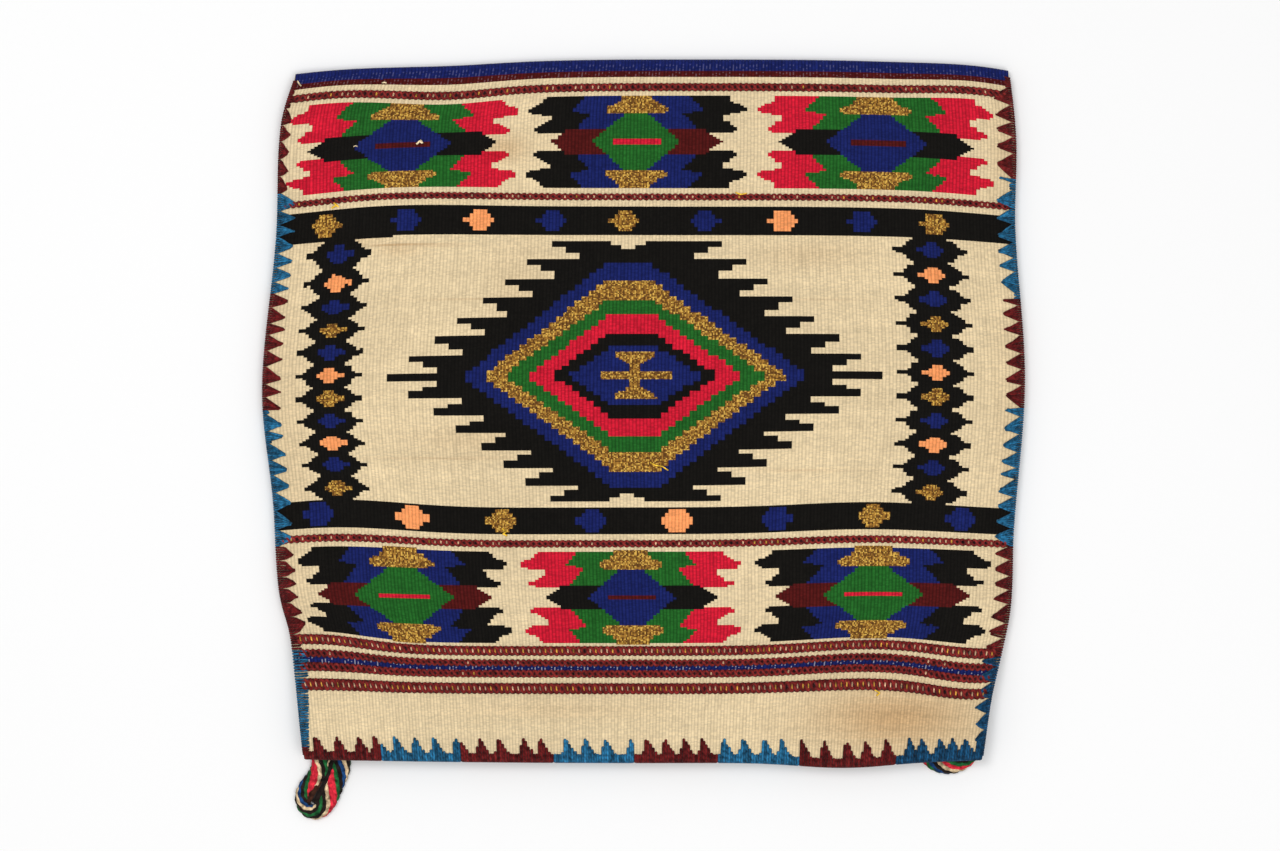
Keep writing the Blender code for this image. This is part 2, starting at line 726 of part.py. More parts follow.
def seam_segments(side, segments, top, under):
    """Overcast yarn down one side seam, a piece for each change of colour."""
    start = FOLD_REACH + SEAM_START
    usable = BAG_DEPTH - SEAM_END - start
    total = sum(length for _, length, _ in segments)
    label = "left" if side < 0.0 else "right"
    place = start
    for number, (colour, length, teeth) in enumerate(segments, 1):
        end = place + usable * length / total
        plain = SEAM_STRIP if teeth else (SEAM_STRIP + SEAM_REACH) / 2.0
        first = place + GAP / 2.0
        last = end - GAP / 2.0
        pitch = (last - first) / max(teeth, 1)
        stations = [(first, plain)]
        for tooth in range(teeth):
            stations.append((first + pitch * (tooth + 0.5), SEAM_REACH))
            if tooth < teeth - 1:
                stations.append((first + pitch * (tooth + 1.0), SEAM_STRIP))
        stations.append((last, plain))
        rings = []
        for down, reach in with_creases(stations, ROWS):
            edge = side * HALF
            inside = side * (HALF - reach)
            rings.append(bracket_ring(
                top.point(inside, down), top.point(edge, down),
                under.point(edge, down), under.point(inside, down), Vector((side, 0.0, 0.0)),
            ))
        channel(f"{label}_seam_yarn_{number}", rings, colour)
        place = end


def rim_segments(label, top, under):
    """Blanket-stitch yarn along one leaf's mouth edge, a piece for each change of colour."""
    total = sum(length for _, length, _ in RIM)
    place = -HALF
    for number, (colour, length, teeth) in enumerate(RIM, 1):
        end = place + 2.0 * HALF * length / total
        first = place + (RIM_FIRST if number == 1 else GAP)
        last = end - (RIM_LAST if number == len(RIM) else GAP)
        pitch = (last - first) / teeth
        stations = [(place + GAP / 2.0, RIM_STRIP)]
        for tooth in range(teeth):
            foot = first + pitch * tooth
            stations.append((foot + RIM_STEEP, RIM_STRIP))
            stations.append((foot + 2.0 * RIM_STEEP, RIM_REACH))
        stations.append((end - GAP / 2.0, RIM_STRIP))
        rings = []
        for across, reach in with_creases(stations, COLUMNS):
            rings.append(bracket_ring(
                top.point(across, BAG_DEPTH - reach), top.point(across, BAG_DEPTH),
                under.point(across, BAG_DEPTH), under.point(across, BAG_DEPTH - reach),
                Vector((0.0, -1.0, 0.0)),
            ))
        channel(f"{label}_rim_yarn_{number}", rings, colour)
        place = end


def loop_route(side, route):
    """Evenly spaced places and half widths along the smooth curve through a route."""
    corner = plan(side * HALF, BAG_DEPTH)[0]
    rim = -BAG_DEPTH - BINDING
    marks = [Vector((corner - side * inwards, rim - beyond, width)) for inwards, beyond, width in route]
    spaced = [marks[0]]
    for index in range(len(marks) - 1):
        p0 = marks[max(index - 1, 0)]
        p1 = marks[index]
        p2 = marks[index + 1]
        p3 = marks[min(index + 2, len(marks) - 1)]
        for step in range(1, ROUTE_STEPS + 1):
            t = step / ROUTE_STEPS
            place = 0.5 * (
                2.0 * p1 + (p2 - p0) * t + (2.0 * p0 - 5.0 * p1 + 4.0 * p2 - p3) * t ** 2
                + (3.0 * p1 - p0 - 3.0 * p2 + p3) * t ** 3
            )
            if (place - spaced[-1]).length >= LOOP_STEP:
                spaced.append(place)
    return spaced


def braided_loop(name, side, route):
    """A flat braid bent back on itself, lying on the ground."""
    spaced = loop_route(side, route)
    last = len(spaced) - 1
    rings = []
    travelled = 0.0
    for index, place in enumerate(spaced):
        step_back = spaced[max(index - 1, 0)].xy
        along = (spaced[min(index + 1, last)].xy - step_back).normalized()
        across = Vector((along.y, -along.x))
        travelled += (place.xy - step_back).length
        turn = 2.0 * math.pi * travelled / LOOP_TWIST
        ring = []
        for corner in range(LOOP_SIDES):
            angle = 2.0 * math.pi * corner / LOOP_SIDES
            swell = 1.0 - LOOP_RELIEF_SHARE * (0.5 + 0.5 * math.cos(len(STRANDS) * angle + turn))
            reach = across * (place.z * swell * math.cos(angle))
            height = LOOP_THICK / 2.0 * (1.0 + math.sin(angle) * swell)
            ring.append(Vector((place.x + reach.x, place.y + reach.y, height)))
        rings.append(ring)
    made = channel(name, rings, STRANDS[0])
    for colour in STRANDS[1:]:
        made.data.materials.append(material(colour))
    run = LOOP_SIDES // len(STRANDS)
    for number, face in enumerate(made.data.polygons):
        face.material_index = (number % LOOP_SIDES // run + number // LOOP_SIDES // 2) % len(STRANDS)
    return made


def settle_on_origin():
    """Moves the whole bag so that the ground point under its middle is the origin."""
    meshes = [thing.data for thing in bpy.data.objects]
    corners = [vertex.co for mesh in meshes for vertex in mesh.vertices]
    middle_x = (min(point.x for point in corners) + max(point.x for point in corners)) / 2.0
    middle_y = (min(point.y for point in corners) + max(point.y for point in corners)) / 2.0
    ground = min(point.z for point in corners)
    shift = Vector((middle_x, middle_y, ground))
    for mesh in meshes:
        for vertex in mesh.vertices:
            vertex.co -= shift


def build():
    for thing in list(bpy.data.objects):
        bpy.data.objects.remove(thing, do_unlink=True)
    kilim_cloth()
    outer_front = Surface(front_height, CLOTH)
    inner_front = Surface(front_height, 0.0)
    inner_back = Surface(back_height, CLOTH)
    outer_back = Surface(back_height, 0.0)
    seam_segments(-1.0, LEFT_SEAM, outer_front, outer_back)
    seam_segments(1.0, RIGHT_SEAM, outer_front, outer_back)
    rim_segments("front", outer_front, inner_front)
    rim_segments("back", inner_back, outer_back)
    braided_loop("left_loop", -1.0, LEFT_LOOP_ROUTE)
    braided_loop("right_loop", 1.0, RIGHT_LOOP_ROUTE)
    settle_on_origin()


build()
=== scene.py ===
"""The looks of a folded kilim bag: woven cloth, twined rows, stitched edges and braided loops."""

import json
import math
import random

import bpy
import numpy as np
from bpy.props import FloatProperty, FloatVectorProperty, IntProperty, PointerProperty
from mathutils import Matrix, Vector

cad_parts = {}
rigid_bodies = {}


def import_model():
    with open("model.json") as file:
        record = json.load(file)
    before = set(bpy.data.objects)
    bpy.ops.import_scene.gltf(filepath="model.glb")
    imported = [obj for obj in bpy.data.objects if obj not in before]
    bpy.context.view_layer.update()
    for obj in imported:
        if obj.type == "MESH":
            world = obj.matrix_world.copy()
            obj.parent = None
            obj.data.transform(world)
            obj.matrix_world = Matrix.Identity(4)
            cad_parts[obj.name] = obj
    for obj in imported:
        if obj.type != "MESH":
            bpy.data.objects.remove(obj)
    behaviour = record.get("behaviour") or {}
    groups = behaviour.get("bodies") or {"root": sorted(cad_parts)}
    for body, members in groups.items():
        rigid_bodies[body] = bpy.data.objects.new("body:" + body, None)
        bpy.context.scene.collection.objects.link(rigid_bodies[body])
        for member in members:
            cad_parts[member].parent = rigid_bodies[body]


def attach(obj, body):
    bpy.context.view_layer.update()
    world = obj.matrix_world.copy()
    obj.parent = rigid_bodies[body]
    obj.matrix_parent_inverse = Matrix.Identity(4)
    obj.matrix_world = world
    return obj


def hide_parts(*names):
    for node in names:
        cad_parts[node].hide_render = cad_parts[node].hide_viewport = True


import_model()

bl_info = {
    "name": "Kilim Bag",
    "version": (1, 0, 0),
    "blender": (4, 5, 0),
    "location": "3D View > Sidebar > Kilim Bag",
    "description": "Weaves, sews and braids a kilim bag over its frame",
    "category": "Object",
}

# ---- the bag's own chart: across from the middle, down from the fold, in metres ----

PIXEL = 0.00057
MIDDLE_COLUMN = 643.5
MIDDLE_ROW = 439.0
BAG_DEPTH = 0.3983
HALF = 0.2161
CLOTH = 0.0022
GAP = 0.0003
BINDING = 0.0013
FOLD_REACH = 0.0030
FOLD_GAP = 0.0015
FOLD_DROP_LEFT = 0.0090
FOLD_DROP_RIGHT = 0.0074
MOUTH_RISE = 0.0020
STITCH_ZONE = 0.0120
LIFT_PLATEAU = 0.0680
LIFT_RAMP = 0.0370
LIFT_DEPTH = 0.0450
LIFT_FADE = 0.0350
SIDE_FADE = 0.0250
POUCH_RISE_SIDE = 0.0560
POUCH_RISE_FOLD = 0.0600
FRONT_HEIGHT = 0.0113
CORNER_GAP = 2.0 * BINDING + GAP
LOOP_THICK = 0.0043
LOOP_LIFT = LOOP_THICK + GAP + BINDING
SETTLE = 0.21605
LEFT_INSETS = (
    (0.00, 0.0190), (0.08, 0.0105), (0.24, 0.0080), (0.46, 0.0000),
    (0.64, 0.0063), (0.76, 0.0095), (0.86, 0.0175), (1.00, 0.0240),
)
RIGHT_INSETS = (
    (0.00, 0.0090), (0.10, 0.0050), (0.23, 0.0055), (0.45, 0.0000),
    (0.67, 0.0063), (0.79, 0.0085), (0.90, 0.0190), (1.00, 0.0245),
)
# Each row: across, down, its reach both ways, and how far it pulls up or lifts.
PULLS = (
    (-0.180, 0.251, 0.055, 0.045, 0.0057), (-0.205, 0.333, 0.045, 0.020, 0.0062),
    (-0.155, 0.082, 0.075, 0.036, 0.0038), (-0.118, 0.020, 0.034, 0.016, -0.0026),
    (-0.190, 0.018, 0.034, 0.016, 0.0022), (0.137, 0.340, 0.050, 0.030, 0.0032),
    (0.202, 0.355, 0.034, 0.028, -0.0048), (0.195, 0.018, 0.034, 0.018, 0.0026),
    (0.132, 0.256, 0.055, 0.045, 0.0029), (0.130, 0.405, 0.042, 0.030, -0.0037),
)
# Low lumps and dips of the front leaf, in the same columns.
LUMPS = (
    (-0.120, 0.060, 0.060, 0.030, 0.0006), (0.060, 0.150, 0.050, 0.060, -0.0005),
    (-0.050, 0.240, 0.070, 0.040, 0.0006), (0.130, 0.290, 0.060, 0.035, 0.0005),
    (-0.140, 0.330, 0.040, 0.040, -0.0004), (0.020, 0.360, 0.080, 0.020, 0.0006),
)

# ---- the pattern ----

STRIPES_ABOVE = (
    ("navy", 0.0068), ("maroon", 0.0006), ("maroon", 0.0029), ("cream", 0.0037), ("maroon", 0.0042),
    ("cream", 0.0028), ("cream", 0.0530), ("cream", 0.0035), ("maroon", 0.0029), ("cream", 0.0040),
    ("black", 0.0162),
)
STRIPES_BELOW = (
    ("black", 0.0152), ("cream", 0.0036), ("maroon", 0.0034), ("cream", 0.0029), ("cream", 0.0518),
    ("cream", 0.0018), ("maroon", 0.0051), ("cream", 0.0028), ("maroon", 0.0029), ("navy", 0.0027),
    ("maroon", 0.0040), ("cream", 0.0035), ("maroon", 0.0057), ("cream", 0.0382),
)
STRIPES_BACK = (
    ("navy", 0.0068), ("cream", 0.0640), ("maroon", 0.0110), ("cream", 0.1080), ("navy", 0.0120),
    ("cream", 0.1080), ("maroon", 0.0110),
)
MOTIF_BAND_ABOVE = 6
MOTIF_BAND_BELOW = 4
MOTIF_PLACES = ((-0.1437, -0.0065, 0.1344), (-0.1428, -0.0081, 0.1344))
MOTIF_SPREADS = (
    ((1.05, 1.11, 1.14), (1.00, 1.00, 1.02), (1.08, 1.14, 1.18)),
    ((0.96, 1.03, 1.18), (1.00, 1.00, 1.02), (1.08, 1.15, 1.20)),
)
MOTIF_WAYS = (("red", "green", "black", "navy", "maroon"), ("black", "navy", "maroon", "green", "red"))
# Quarter outlines in photo pixels, from the middle of a motif.
WING = (
    (54, 46), (96, 46), (98, 41), (105, 38), (113, 35), (113, 31), (106, 28), (89, 27), (90, 21),
    (96, 20), (98, 16), (105, 15), (105, 11), (98, 9), (65, 9), (62, 13), (57, 19), (51, 25), (47, 29),
    (69, 31), (66, 34), (60, 40),
)
BODY = (
    (0, 46), (54, 46), (60, 40), (66, 34), (69, 31), (47, 29), (51, 25), (57, 19), (62, 13), (65, 9), (0, 9),
)
ARM = ((0, 12.4), (72, 12.4), (74, 9), (79, 6), (83, 3), (89, 0), (0, 0))
CAP = (
    (0, 46.5), (16.5, 46.5), (16.5, 42), (21.5, 41), (21.5, 38), (26, 37), (32.7, 34.5), (32.7, 30.5),
    (28, 29), (28, 28), (0, 28),
)
LOZENGE_HEIGHT = 26.0
LOZENGE = (
    (0, 13), (17, 13), (17, 11.4), (21, 11.0), (21, 9.6), (25.5, 8.6), (25.5, 5.0), (29.5, 4.4), (29.5, 2.6),
    (36.5, 2.2), (36.5, 0), (0, 0),
)
HEART = ((0, 28), (11.6, 28), (30, 12), (44.6, 0), (0, 0))
BAR = ((0, 2.6), (25, 2.6), (25, 0), (0, 0))
MEDALLION_PLACE = (-0.0048, 0.1800)
MEDALLION_FLAT = 0.0148
MEDALLION_LEAN = -0.0056
MEDALLION_STEP = 0.0040
STEP_OVERLAP = 0.00002
MEDALLION_RINGS = (
    ("navy", 0.0962, 0.0638), ("gold", 0.0846, 0.0541), ("green", 0.0727, 0.0430),
    ("red", 0.0593, 0.0342), ("black", 0.0447, 0.0239), ("navy", 0.0365, 0.0168),
)
SIGN = (
    (0, 23), (21, 23), (20, 17), (13, 16), (6.5, 12), (6.5, 3.7), (35, 3.7), (35, 0), (0, 0),
)
TEETH = 7
TOOTH_TIP = 0.1410
TOOTH_STEP = 0.0130
TOOTH_HEIGHT = 0.0036
TOOTH_CUTS = (0.0160, 0.0080, 0.0)
NOTCHES = ((18.0, 4.5), (6.7, 9.4))
FIELD_MARGIN = 0.0028
STARS_ABOVE = (
    (327, "gold"), (408, "navy"), (481, "orange"), (553, "navy"), (625, "gold"), (705, "navy"),
    (782, "orange"), (861, "navy"), (933, "gold"),
)
STARS_BELOW = (
    (320, "navy"), (414, "orange"), (503, "gold"), (592, "navy"), (677, "orange"), (776, "navy"),
    (872, "gold"), (960, "navy"),
)
BAND_STAR = ((0.0045, 0.0061), (0.0062, 0.0040), (0.0092, 0.0017))
COLUMN_STAR = ((0.0035, 0.0046), (0.0052, 0.0026), (0.0081, 0.0013))
COLUMN_PLACES = ((-0.1785, 0.93), (0.1663, 1.06))
DRIFTS = ((-0.185, 0.128, 0.045, 0.026, 0.0030),)
COLUMN_STARS = (
    "navy", "orange", "navy", "gold", "navy", "orange", "gold", "navy", "orange", "navy", "gold",
)
# Each stain: column and row of the photo, its width and height, and how strong it is. The three tall marks at
# the side edges make the cloth darker along both sides.
STAINS = (
    (505, 150, 22, 14, 0.35), (345, 240, 40, 12, 0.22), (885, 738, 60, 16, 0.32), (520, 305, 30, 60, 0.10),
    (480, 440, 60, 16, 0.14), (560, 708, 90, 10, 0.14), (700, 160, 12, 30, 0.12), (400, 250, 24, 8, 0.2),
    (810, 255, 50, 14, 0.14), (895, 716, 85, 32, 0.58), (405, 246, 50, 1.4, 0.5), (480, 300, 60, 1.2, 0.2),
    (1008, 160, 20, 90, 0.13), (1012, 480, 22, 180, 0.10), (290, 480, 22, 180, 0.08),
    (455, 458, 70, 1.4, 0.25), (800, 470, 50, 1.3, 0.2), (820, 300, 40, 1.2, 0.15), (600, 735, 60, 1.5, 0.2),
)
COLOURS = {
    "cream": (0.778, 0.618, 0.380), "black": (0.0062, 0.0054, 0.0044), "navy": (0.0095, 0.0165, 0.118),
    "maroon": (0.085, 0.0075, 0.0070), "red": (0.645, 0.0120, 0.035), "green": (0.016, 0.125, 0.018),
    "gold": (0.300, 0.165, 0.025), "orange": (0.950, 0.340, 0.120),
}
# Tinsel: a deep and a middle tone, and a bright painted glint of the metal thread.
TINSEL_TONES = ((0.140, 0.058, 0.012, 1.0), (0.380, 0.185, 0.030, 1.0), (0.720, 0.430, 0.080, 1.0))
TINSEL_THREAD = (0.850, 0.520, 0.040)
SPECK_TONE = (0.340, 0.320, 0.380, 1.0)
YARNS = {
    "maroon": (0.090, 0.0074, 0.0076), "blue": (0.0130, 0.096, 0.190), "dark blue": (0.0060, 0.046, 0.105),
    "twined": (0.160, 0.0150, 0.0135), "link shade": (0.030, 0.0060, 0.0070),
}
TWINED_PALE = (0.500, 0.300, 0.180)
TWINED_GOLD = (0.480, 0.235, 0.038)
LOOSE_ENDS = (
    ("cream", 0.00050, ((298.5, 82), (300, 84.5), (302, 87))),
    ("cream", 0.00045, ((383, 84), (385, 83.5), (387, 84))),
    ("cream", 0.00060, ((418, 146), (421, 143), (424, 145), (422, 142))),
    ("cream", 0.00030, ((355, 148), (357, 147), (359, 148))),
    ("tinsel", 0.00040, ((650, 462), (655, 465), (662, 466), (668, 470))),
    ("tinsel", 0.00050, ((503, 528), (507, 531), (504, 533), (508, 535))),
    ("tinsel", 0.00040, ((873, 688), (878, 691), (875, 694))),
    ("tinsel", 0.00050, ((333, 209), (338, 206), (335, 204), (340, 208))),
    ("tinsel", 0.00040, ((735, 194), (740, 196), (746, 195))),
)

# ---- the edge yarn ----

# Each length of a seam: colour, length, and how far in its turns and its teeth reach.
LEFT_SEAM = (
    ("maroon", 0.0660, 0.0014, 0.0048), ("blue", 0.0559, 0.0018, 0.0094), ("maroon", 0.0673, 0.0015, 0.0094),
    ("blue", 0.0798, 0.0018, 0.0092), ("maroon", 0.0615, 0.0044, 0.0096), ("blue", 0.0502, 0.0030, 0.0086),
)
RIGHT_SEAM = (
    ("maroon", 0.0575, 0.0018, 0.0100), ("blue", 0.0690, 0.0018, 0.0094), ("maroon", 0.0627, 0.0015, 0.0096),
    ("blue", 0.0798, 0.0018, 0.0094), ("maroon", 0.0604, 0.0018, 0.0094), ("blue", 0.0541, 0.0018, 0.0104),
)
# Photo rows that the teeth of the side seams point to, length by length.
LEFT_TEETH = (
    (122, 137, 155, 173, 190), (207, 220, 233, 248, 263, 277, 290), (303, 319, 330, 345, 361, 379, 393, 410),
    (426, 438, 456, 471, 488, 505, 525, 540), (556, 571, 583, 597, 612, 623), (),
)
RIGHT_TEETH = (
    (102, 118, 133, 149, 166), (180, 203, 220, 237, 253, 268, 283), (302, 316, 331, 348, 364, 381, 396),
    (411, 430, 447, 462, 475, 491, 507, 522, 537), (554, 570, 584, 599, 617, 632, 646),
    (660, 676, 692, 706, 722, 738),
)
RIM = (
    ("maroon", 0.0445), ("blue", 0.0456), ("maroon", 0.0530), ("blue", 0.0462), ("maroon", 0.0479),
    ("blue", 0.0467), ("maroon", 0.0553), ("blue", 0.0496),
)
# Photo columns that the teeth of the mouth point to, length by length.
RIM_TEETH = (
    (319, 340, 361, 377), (380, 398, 417, 436, 457), (460, 481, 500, 524, 541), (566, 585, 605, 630),
    (646, 664, 683, 701), (722, 741, 762, 779), (799, 821, 843, 862, 882), (905, 917, 935, 947, 960, 974),
)
SEAM_START = 0.0012
SEAM_END = 0.0060
RIM_STRIP = 0.0035
RIM_REACH = 0.0124
SEAM_LAG = 0.0030
SEAM_FAN = 0.0075
SEAM_TAPER = 0.58
RIM_TOOTH = 0.0070
RIM_TOOTH_LEFT = 0.0022
CORNER_TURNS = 4
CORNER_REACH = 0.0035
SEAM_RAGGED = (-0.0012, 0.0004)
RIM_RAGGED = (-0.0006, 0.0006)
TURN_SHADES = 0.42
LINK_SHADES = 0.35
# Each point of a loop: inwards from the corner, beyond the rim, and the braid's half width.
LEFT_LOOP_ROUTE = (
    (0.0086, -0.0084, 0.0052), (0.0083, 0.0021, 0.0052), (0.0054, 0.0086, 0.0051),
    (0.0001, 0.0144, 0.0044), (-0.0024, 0.0205, 0.0040), (-0.0004, 0.0265, 0.0040),
    (0.0049, 0.0288, 0.0043), (0.0103, 0.0256, 0.0050), (0.0135, 0.0194, 0.0055),
    (0.0163, 0.0125, 0.0055), (0.0193, 0.0051, 0.0055), (0.0203, -0.0017, 0.0053),
    (0.0204, -0.0104, 0.0052),
)
RIGHT_LOOP_ROUTE = (
    (0.0036, -0.0134, 0.0044), (0.0044, -0.0062, 0.0048), (0.0101, -0.0002, 0.0050),
    (0.0176, 0.0022, 0.0050), (0.0252, 0.0008, 0.0048), (0.0304, -0.0042, 0.0044),
    (0.0308, -0.0112, 0.0042), (0.0264, -0.0160, 0.0042), (0.0202, -0.0172, 0.0044),
    (0.0144, -0.0204, 0.0044),
)
LEFT_LOOP_COLOURS = (
    "red", "green", "dark", "navy", "cream", "dark", "green", "dark", "cream", "red",
)
RIGHT_LOOP_COLOURS = (
    "dark", "green", "red", "cream", "dark", "navy", "green", "red", "cream", "navy",
)
LOOP_YARNS = {
    "red": (0.500, 0.020, 0.036), "green": (0.011, 0.090, 0.025), "dark": (0.0130, 0.0084, 0.0072),
    "navy": (0.0084, 0.039, 0.120), "cream": (0.500, 0.370, 0.220), "eye shade": (0.048, 0.017, 0.010),
}
# Strands in the loop's eye: the brown and the dark one fill the eye where it lies in shade, as painted shade;
# the cream one is a yarn.
EYE_YARNS_AND_SHADE = (
    ("eye shade", 0.0024, ((325, 762), (322, 775), (315, 788), (306, 803))),
    ("dark", 0.0022, ((333, 760), (330, 774), (324, 788), (315, 803))),
    ("cream", 0.0012, ((330, 758), (326, 768), (321, 778), (314, 786))),
)
EYE_HEIGHT = 0.0020
EYE_THICK = 0.0015
LOOP_YARN = 0.0015
LOOP_YARN_THICK = 0.0010
LOOP_WAVE = 0.0003
LOOP_WAVE_LENGTH = 0.0045
CURVE_STEPS = 12
CURVE_LEAST = 0.0009

# ---- rows and relief of the weave ----

WEFT = 0.00072
ROW_LEAST = 0.0005
BACK_ROW = 0.008
INNER_ROWS = 13
BEND_ROWS = 9
WOBBLE = 0.00012
WOBBLE_MOST = 0.0004
OUTLINE_ROOM = (0.002, 0.005)
SPECK_SHARE = 0.6
WOOL_RELIEF = 0.00030
YARN_RELIEF = 0.00026

# ---- turns of yarn: shares of a stitch's reach, and heights in yarn radii ----

SEAM_DEPTHS = np.array([1.0, 0.92, 0.55, 0.15, 0.0])
SEAM_LIFTS = np.array([-0.3, 0.75, 0.95, 0.9, 0.7])
RIM_DEPTHS = np.array([1.0, 0.93, 0.6, 0.2, 0.0])
RIM_LIFTS = np.array([-0.3, 0.6, 0.75, 0.75, 0.55])
LINK_LIFTS = np.array([0.2, 0.8, 1.0, 0.8, 0.2])
LINK_STEPS = 8
LINK_YARN = (0.00058, 0.0004)
SEAM_FLAT = 0.8
RIM_FLAT = 0.62
TWINED_FLAT = 0.55
TWINED_MARGIN = 0.006
TWINED_GROUND = 0.84

# ---- the stage ----

FLOOR_SIZE = 12.0
FLOOR_NEAR = 0.55
FLOOR_FAR = 1.50
CAMERA_PLACE = (-0.0020, 0.0077)
LENS = 100.0
LAMPS = (("key", (-0.7, 0.6, 2.3), 1.0), ("fill", (0.6, -0.9, 2.3), 1.4))


class KilimBagSizes(bpy.types.PropertyGroup):
    """Sizes and light that a user may change."""

    ribs: IntProperty(name="Ribs", description="Warp ribs across the cloth", default=214, min=20)
    row_step: FloatProperty(
        name="Row step", description="Height of a woven row", default=0.00112, min=0.0004, unit="LENGTH",
        precision=5,
    )
    link_pitch: FloatProperty(
        name="Link pitch", description="Length of a twined link", default=0.0034, unit="LENGTH", precision=4,
    )
    seam_yarn: FloatProperty(
        name="Seam yarn", description="Radius of the overcast yarn", default=0.00058, unit="LENGTH",
        precision=5,
    )
    seam_pitch: FloatProperty(
        name="Seam pitch", description="Distance between overcast turns", default=0.00128, unit="LENGTH",
        precision=5,
    )
    rim_yarn: FloatProperty(
        name="Rim yarn", description="Radius of the blanket stitch yarn", default=0.00086, unit="LENGTH",
        precision=5,
    )
    rim_pitch: FloatProperty(
        name="Rim pitch", description="Distance between blanket stitches", default=0.00160, unit="LENGTH",
        precision=5,
    )
    loop_pitch: FloatProperty(
        name="Braid pitch", description="Length of one turn of the braid", default=0.0430, unit="LENGTH",
        precision=4,
    )
    stain: FloatVectorProperty(
        name="Stain", description="Colour that old stains lean to", default=(0.560, 0.330, 0.140), size=3,
        subtype="COLOR", min=0.0, max=1.0,
    )
    camera_height: FloatProperty(
        name="Camera height", description="Height of the lens above the floor", default=2.0267, unit="LENGTH",
    )
    key_power: FloatProperty(
        name="Key power", description="Power of the larger lamp", default=17.9, unit="POWER",
    )
    fill_power: FloatProperty(
        name="Fill power", description="Power of the smaller lamp", default=17.4, unit="POWER",
    )
    sky: FloatProperty(name="Sky", description="Strength of the light from all round", default=0.55)


# ---- the chart in numbers ----

def rise(distance, width):
    """From 0 to 1 over a width, with soft ends."""
    share = np.clip(distance / width, 0.0, 1.0)
    return share * share * (3.0 - 2.0 * share)


def smooth_value(points, place):
    """The smooth curve through points of place and value."""
    spots, values = np.array(points).T
    index = np.clip(np.searchsorted(spots, place, side="left") - 1, 0, len(points) - 2)
    before = np.maximum(index - 1, 0)
    after = np.minimum(index + 2, len(points) - 1)
    x0, x1, y0, y1 = spots[index], spots[index + 1], values[index], values[index + 1]
    slope0 = (y1 - values[before]) / (x1 - spots[before])
    slope1 = (values[after] - y0) / (spots[after] - x0)
    t = (place - x0) / (x1 - x0)
    width = x1 - x0
    return (
        (2 * t ** 3 - 3 * t ** 2 + 1) * y0 + (t ** 3 - 2 * t ** 2 + t) * width * slope0
        + (3 * t ** 2 - 2 * t ** 3) * y1 + (t ** 3 - t ** 2) * width * slope1
    )


def bells(table, across, down):
    """The sum of a table's bell-shaped hills and dips."""
    total = 0.0
    for centre, depth, reach, reach_down, height in table:
        slopes = -((across - centre) / reach) ** 2 - ((down - depth) / reach_down) ** 2
        total = total + height * np.exp(slopes)
    return total


def side_edges(down):
    """How far the left and the right edge lie from the middle at a depth below the fold."""
    share = down / BAG_DEPTH
    return -HALF + smooth_value(LEFT_INSETS, share), HALF - smooth_value(RIGHT_INSETS, share)


def plan(across, down):
    """Where a place on the cloth lies seen from above."""
    left, right = side_edges(down)
    side = across / HALF
    x = (left + right) / 2.0 + side * (right - left) / 2.0
    drop = np.where(side < 0.0, FOLD_DROP_LEFT * side ** 2, FOLD_DROP_RIGHT * side ** 4)
    mouth = -BAG_DEPTH + MOUTH_RISE * side ** 2
    y = -drop + (mouth + drop) * (down / BAG_DEPTH) + bells(PULLS, across, down)
    return x, y + SETTLE


def back_height(across, down):
    from_side = HALF - np.abs(across)
    from_mouth = BAG_DEPTH - down
    side = 1.0 - rise(from_side - STITCH_ZONE, SIDE_FADE)
    mouth = 1.0 - rise(from_mouth - STITCH_ZONE, SIDE_FADE)
    loop = 1.0 - rise(from_side - LIFT_PLATEAU, LIFT_RAMP)
    loop = loop * (1.0 - rise(from_mouth - LIFT_DEPTH, LIFT_FADE))
    return np.maximum(np.maximum(BINDING * side, BINDING * mouth), LOOP_LIFT * loop)


def front_height(across, down):
    from_side = HALF - np.abs(across)
    from_mouth = BAG_DEPTH - down
    corner = 1.0 - rise(from_mouth - STITCH_ZONE, LIFT_DEPTH - STITCH_ZONE)
    seam = back_height(across, down) + CLOTH + GAP + (CORNER_GAP - GAP) * corner
    bulge = rise(from_side - STITCH_ZONE, POUCH_RISE_SIDE) * rise(down - FOLD_REACH, POUCH_RISE_FOLD)
    low = CLOTH + FOLD_GAP
    height = np.maximum(seam, low + (FRONT_HEIGHT - low) * bulge)
    return height + bulge * bells(LUMPS, across, down)


FACES = {
    "front_outer": (front_height, CLOTH), "front_inner": (front_height, 0.0),
    "back_inner": (back_height, CLOTH), "back_outer": (back_height, 0.0),
}


def on_cloth(face, across, down, lift=0.0):
    """Points on one face of the cloth, as rows of x, y, z."""
    across, down, lift = np.broadcast_arrays(
        *(np.asarray(part, dtype=float) for part in (across, down, lift)))
    height, thick = FACES[face]
    x, y = plan(across, down)
    return np.stack([x, y, height(across, down) + thick + lift], axis=-1)


def across_at(pixel, down):
    """The chart place of a photo column at a depth below the fold."""
    left, right = side_edges(down)
    return ((pixel - MIDDLE_COLUMN) * PIXEL - (left + right) / 2.0) / (right - left) * 2.0 * HALF


def chart_at(pixel_x, pixel_y):
    """The chart place under a point of the photo, found in 12 steps from the middle of the bag."""
    down = np.zeros_like(np.asarray(pixel_y, dtype=float)) + 0.2
    for _ in range(12):
        across = across_at(pixel_x, down)
        down = down + plan(across, down)[1] - (MIDDLE_ROW - pixel_y) * PIXEL
    return across, down


def down_at(side, pixel_y):
    """How far below the fold a photo row meets a side edge."""
    downs = np.linspace(0.0, BAG_DEPTH, 400)
    return float(np.interp((pixel_y - MIDDLE_ROW) * PIXEL, -plan(side * HALF, downs)[1], downs))


def even_steps(route, count):
    """The two coordinates of a route at even steps from its first point to its last."""
    steps = np.linspace(0.0, len(route) - 1.0, count)
    return [np.interp(steps, np.arange(len(route)), part) for part in np.array(route, dtype=float).T]


